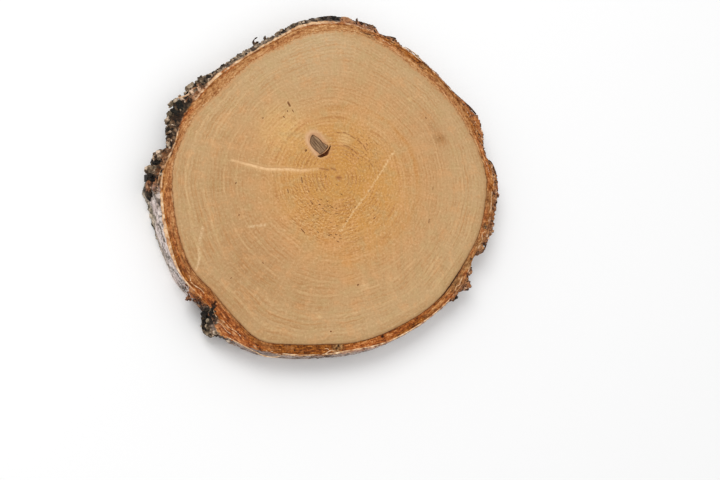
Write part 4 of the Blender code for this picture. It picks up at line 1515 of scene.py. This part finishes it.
def add_bark_crumbs(material):
    """Grains strewn over the sawn rim and the rough stretches of the wall, and the burr's own."""
    shell = Shell()
    for first, last, count, size, light, warmth in CRUMBS:
        black_share = BLACK_CRUMBS * (1.3 - warmth)
        for number in range(count):
            angle = random.uniform(first, last)
            if number % 5 < CRUMBS_ON_WALL:
                height = random.uniform(1.5, THICKNESS - 1.0)
                radius = wall_radius(angle, height) - 0.1
            else:
                height = THICKNESS - random.uniform(0.3, 2.2)
                cork = inner_bark_radius(angle) + 0.6
                radius = mix(cork, max(edge_radius(angle), cork), random.random() ** 0.7)
            own = size * random.uniform(0.45, 1.2)
            halves = (0.8 * own, own * random.uniform(0.8, 1.5), own * random.uniform(0.7, 1.1))
            shade = 0.04 if random.random() < black_share else clamp(light + random.gauss(0.0, 0.14))
            add_chunk(shell, point_at(angle, radius, height), angle, halves, shade, warmth, GRAIN_DETAIL)
    for _ in range(BURR_GRAINS):
        angle = BURR_ANGLE + random.gauss(0.0, 0.42) * BURR_HALF_ANGLE
        height = clamp(BURR_LEVEL + random.gauss(0.0, 3.6), 1.5, THICKNESS - 1.5)
        own = random.uniform(0.8, 1.7)
        place = point_at(angle, wall_radius(angle, height) - 0.3, height)
        shade = clamp(random.gauss(0.44, 0.18) + 0.07 * (angle - BURR_ANGLE))
        add_chunk(shell, place, angle, (own, own, own), shade, BURR_WARMTH, GRAIN_DETAIL)
    shell.make("bark_crumbs", "outer_bark", material)


def add_bark_peels(material):
    """Thin layers of bark that stand in the sawn face or curl away from it."""
    shell = Shell()
    for low, high, thickness, light, cork, points in PEELS:
        path = smooth_path([point_at(angle, radius, 0.0) for angle, radius in points], PEEL_SPACING)
        rows = []
        for k, spot in enumerate(path):
            way = path[min(k + 1, len(path) - 1)] - path[max(k - 1, 0)]
            side = Vector((-way.y, way.x, 0.0)).normalized()
            ends = math.sin(math.pi * (k + 0.6) / (len(path) + 0.2)) ** 0.4
            half = thickness / 2 * ends * (1.0 + 0.5 * noise(spot / 1.1))
            top = high - 0.5 * abs(noise(spot / 1.6)) - 0.6 * (1.0 - ends)
            paint = {
                **PLAIN_BARK,
                "light": clamp(light + 0.5 * noise(spot / 2.0)),
                "warmth": 0.6,
                "cork": clamp(cork + 0.6 * noise(spot / 2.6)),
                "flesh": 0.5 * cork,
                "tone": 0.5,
            }
            section = ((-1.0, low), (-1.0, top - 0.4), (-0.6, top), (0.6, top), (1.0, top - 0.4), (1.0, low))
            rows.append([
                shell.add(spot + half * across * side + Vector((0.0, 0.0, height)), **paint)
                for across, height in section
            ])
        shell.close(rows)
    shell.make("bark_peels", "outer_bark", material)


def add_flecks(material):
    """Short dark flecks in the sawn face: slim slivers let into it."""
    flecks = list(FLECKS)
    for middle_x, middle_y, reach, count in TORN_GRAIN:
        for _ in range(count):
            x = random.gauss(middle_x, reach / 2)
            y = random.gauss(middle_y, reach / 2)
            direction = math.degrees(math.atan2(y, x)) + 90.0 + random.gauss(0.0, 20.0)
            flecks.append((x, y, direction, random.uniform(0.8, 2.6), random.uniform(0.3, 0.6)))
    shell = Shell()
    for x, y, direction, length, width in flecks:
        middle = Vector((x, y))
        turn = Matrix.Rotation(math.radians(direction), 2)
        loop = []
        for k in range(FLECK_SIDES):
            way = 2.0 * math.pi * k / FLECK_SIDES
            uneven = 1.0 + 0.35 * noise(Vector((x + 2.0 * k, y, 0.5)))
            point = Vector((length / 2 * math.cos(way), width / 2 * math.sin(way) * uneven))
            loop.append(middle + turn @ point)
        shell.close([
            [shell.add(Vector((*mix(middle, point, share), THICKNESS + rise))) for point in loop]
            for share, rise in FLECK_LEVELS
        ])
    shell.make("wood_flecks", "wood", material)


def add_floor():
    data = bpy.data.meshes.new("floor")
    corners = [(x * FLOOR_HALF, y * FLOOR_HALF, 0.0) for x, y in ((-1, -1), (1, -1), (1, 1), (-1, 1))]
    data.from_pydata(corners, [], [(0, 1, 2, 3)])
    tree = Tree("floor")
    tree.colour = FLOOR_COLOUR
    data.materials.append(tree.finish(0.9, specular=0.1))
    put("floor", data)


def add_light(name, place, size, power):
    data = bpy.data.lights.new(name, "AREA")
    data.size = size
    data.energy = power
    lamp = put(name, data)
    lamp.location = place
    lamp.rotation_euler = (-Vector(place)).to_track_quat("-Z", "Y").to_euler()


def add_world(strength):
    world = bpy.data.worlds.new("studio")
    world.use_nodes = True
    background = world.node_tree.nodes["Background"]
    background.inputs["Color"].default_value = (1.0, 1.0, 1.0, 1.0)
    background.inputs["Strength"].default_value = strength
    bpy.context.scene.world = world


def add_camera():
    """The camera of the photograph, which looked at the sawn face from its lower left."""
    yaw = math.radians(CAMERA_YAW)
    pitch = math.radians(CAMERA_PITCH)
    up_axis = Vector((math.sin(yaw) * math.cos(pitch), math.sin(pitch), math.cos(yaw) * math.cos(pitch)))
    across = Vector((math.cos(yaw), 0.0, -math.sin(yaw)))
    across = (across - up_axis * across.dot(up_axis)).normalized()
    along = up_axis.cross(across)
    data = bpy.data.cameras.new("camera")
    data.lens = CAMERA_LENS
    data.sensor_width = CAMERA_SENSOR
    data.clip_start = 0.05
    camera = put("camera", data)
    turn = Matrix((across, along, up_axis)).to_4x4()
    camera.matrix_world = Matrix.Translation(Vector(CAMERA_PLACE) * MM) @ turn
    bpy.context.scene.camera = camera


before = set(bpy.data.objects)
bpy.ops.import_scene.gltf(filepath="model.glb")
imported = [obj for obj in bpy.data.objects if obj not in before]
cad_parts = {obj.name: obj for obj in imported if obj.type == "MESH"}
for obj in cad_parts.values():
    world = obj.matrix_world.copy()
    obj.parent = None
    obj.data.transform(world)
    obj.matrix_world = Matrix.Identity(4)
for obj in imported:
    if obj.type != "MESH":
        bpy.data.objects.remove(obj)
cad_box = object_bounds()
random.seed(RANDOM_SEED)

add_camera()
add_floor()
add_world(WORLD_STRENGTH)
add_light("key", KEY_LIGHT_PLACE, KEY_LIGHT_SIZE, KEY_LIGHT_POWER)
bpy.context.scene.view_settings.view_transform = "Standard"

add_wood(wood_material())
add_flecks(fleck_material())
add_knot(knot_material())
ring_shell(INNER_STEPS, inner_bark_section).make("inner_bark", "inner_bark", inner_bark_material())
bark = outer_bark_material()
ring_shell(OUTER_STEPS, outer_bark_section).make("outer_bark", "outer_bark", bark)
add_bark_lumps(bark)
add_bark_crumbs(bark)
add_bark_peels(bark)
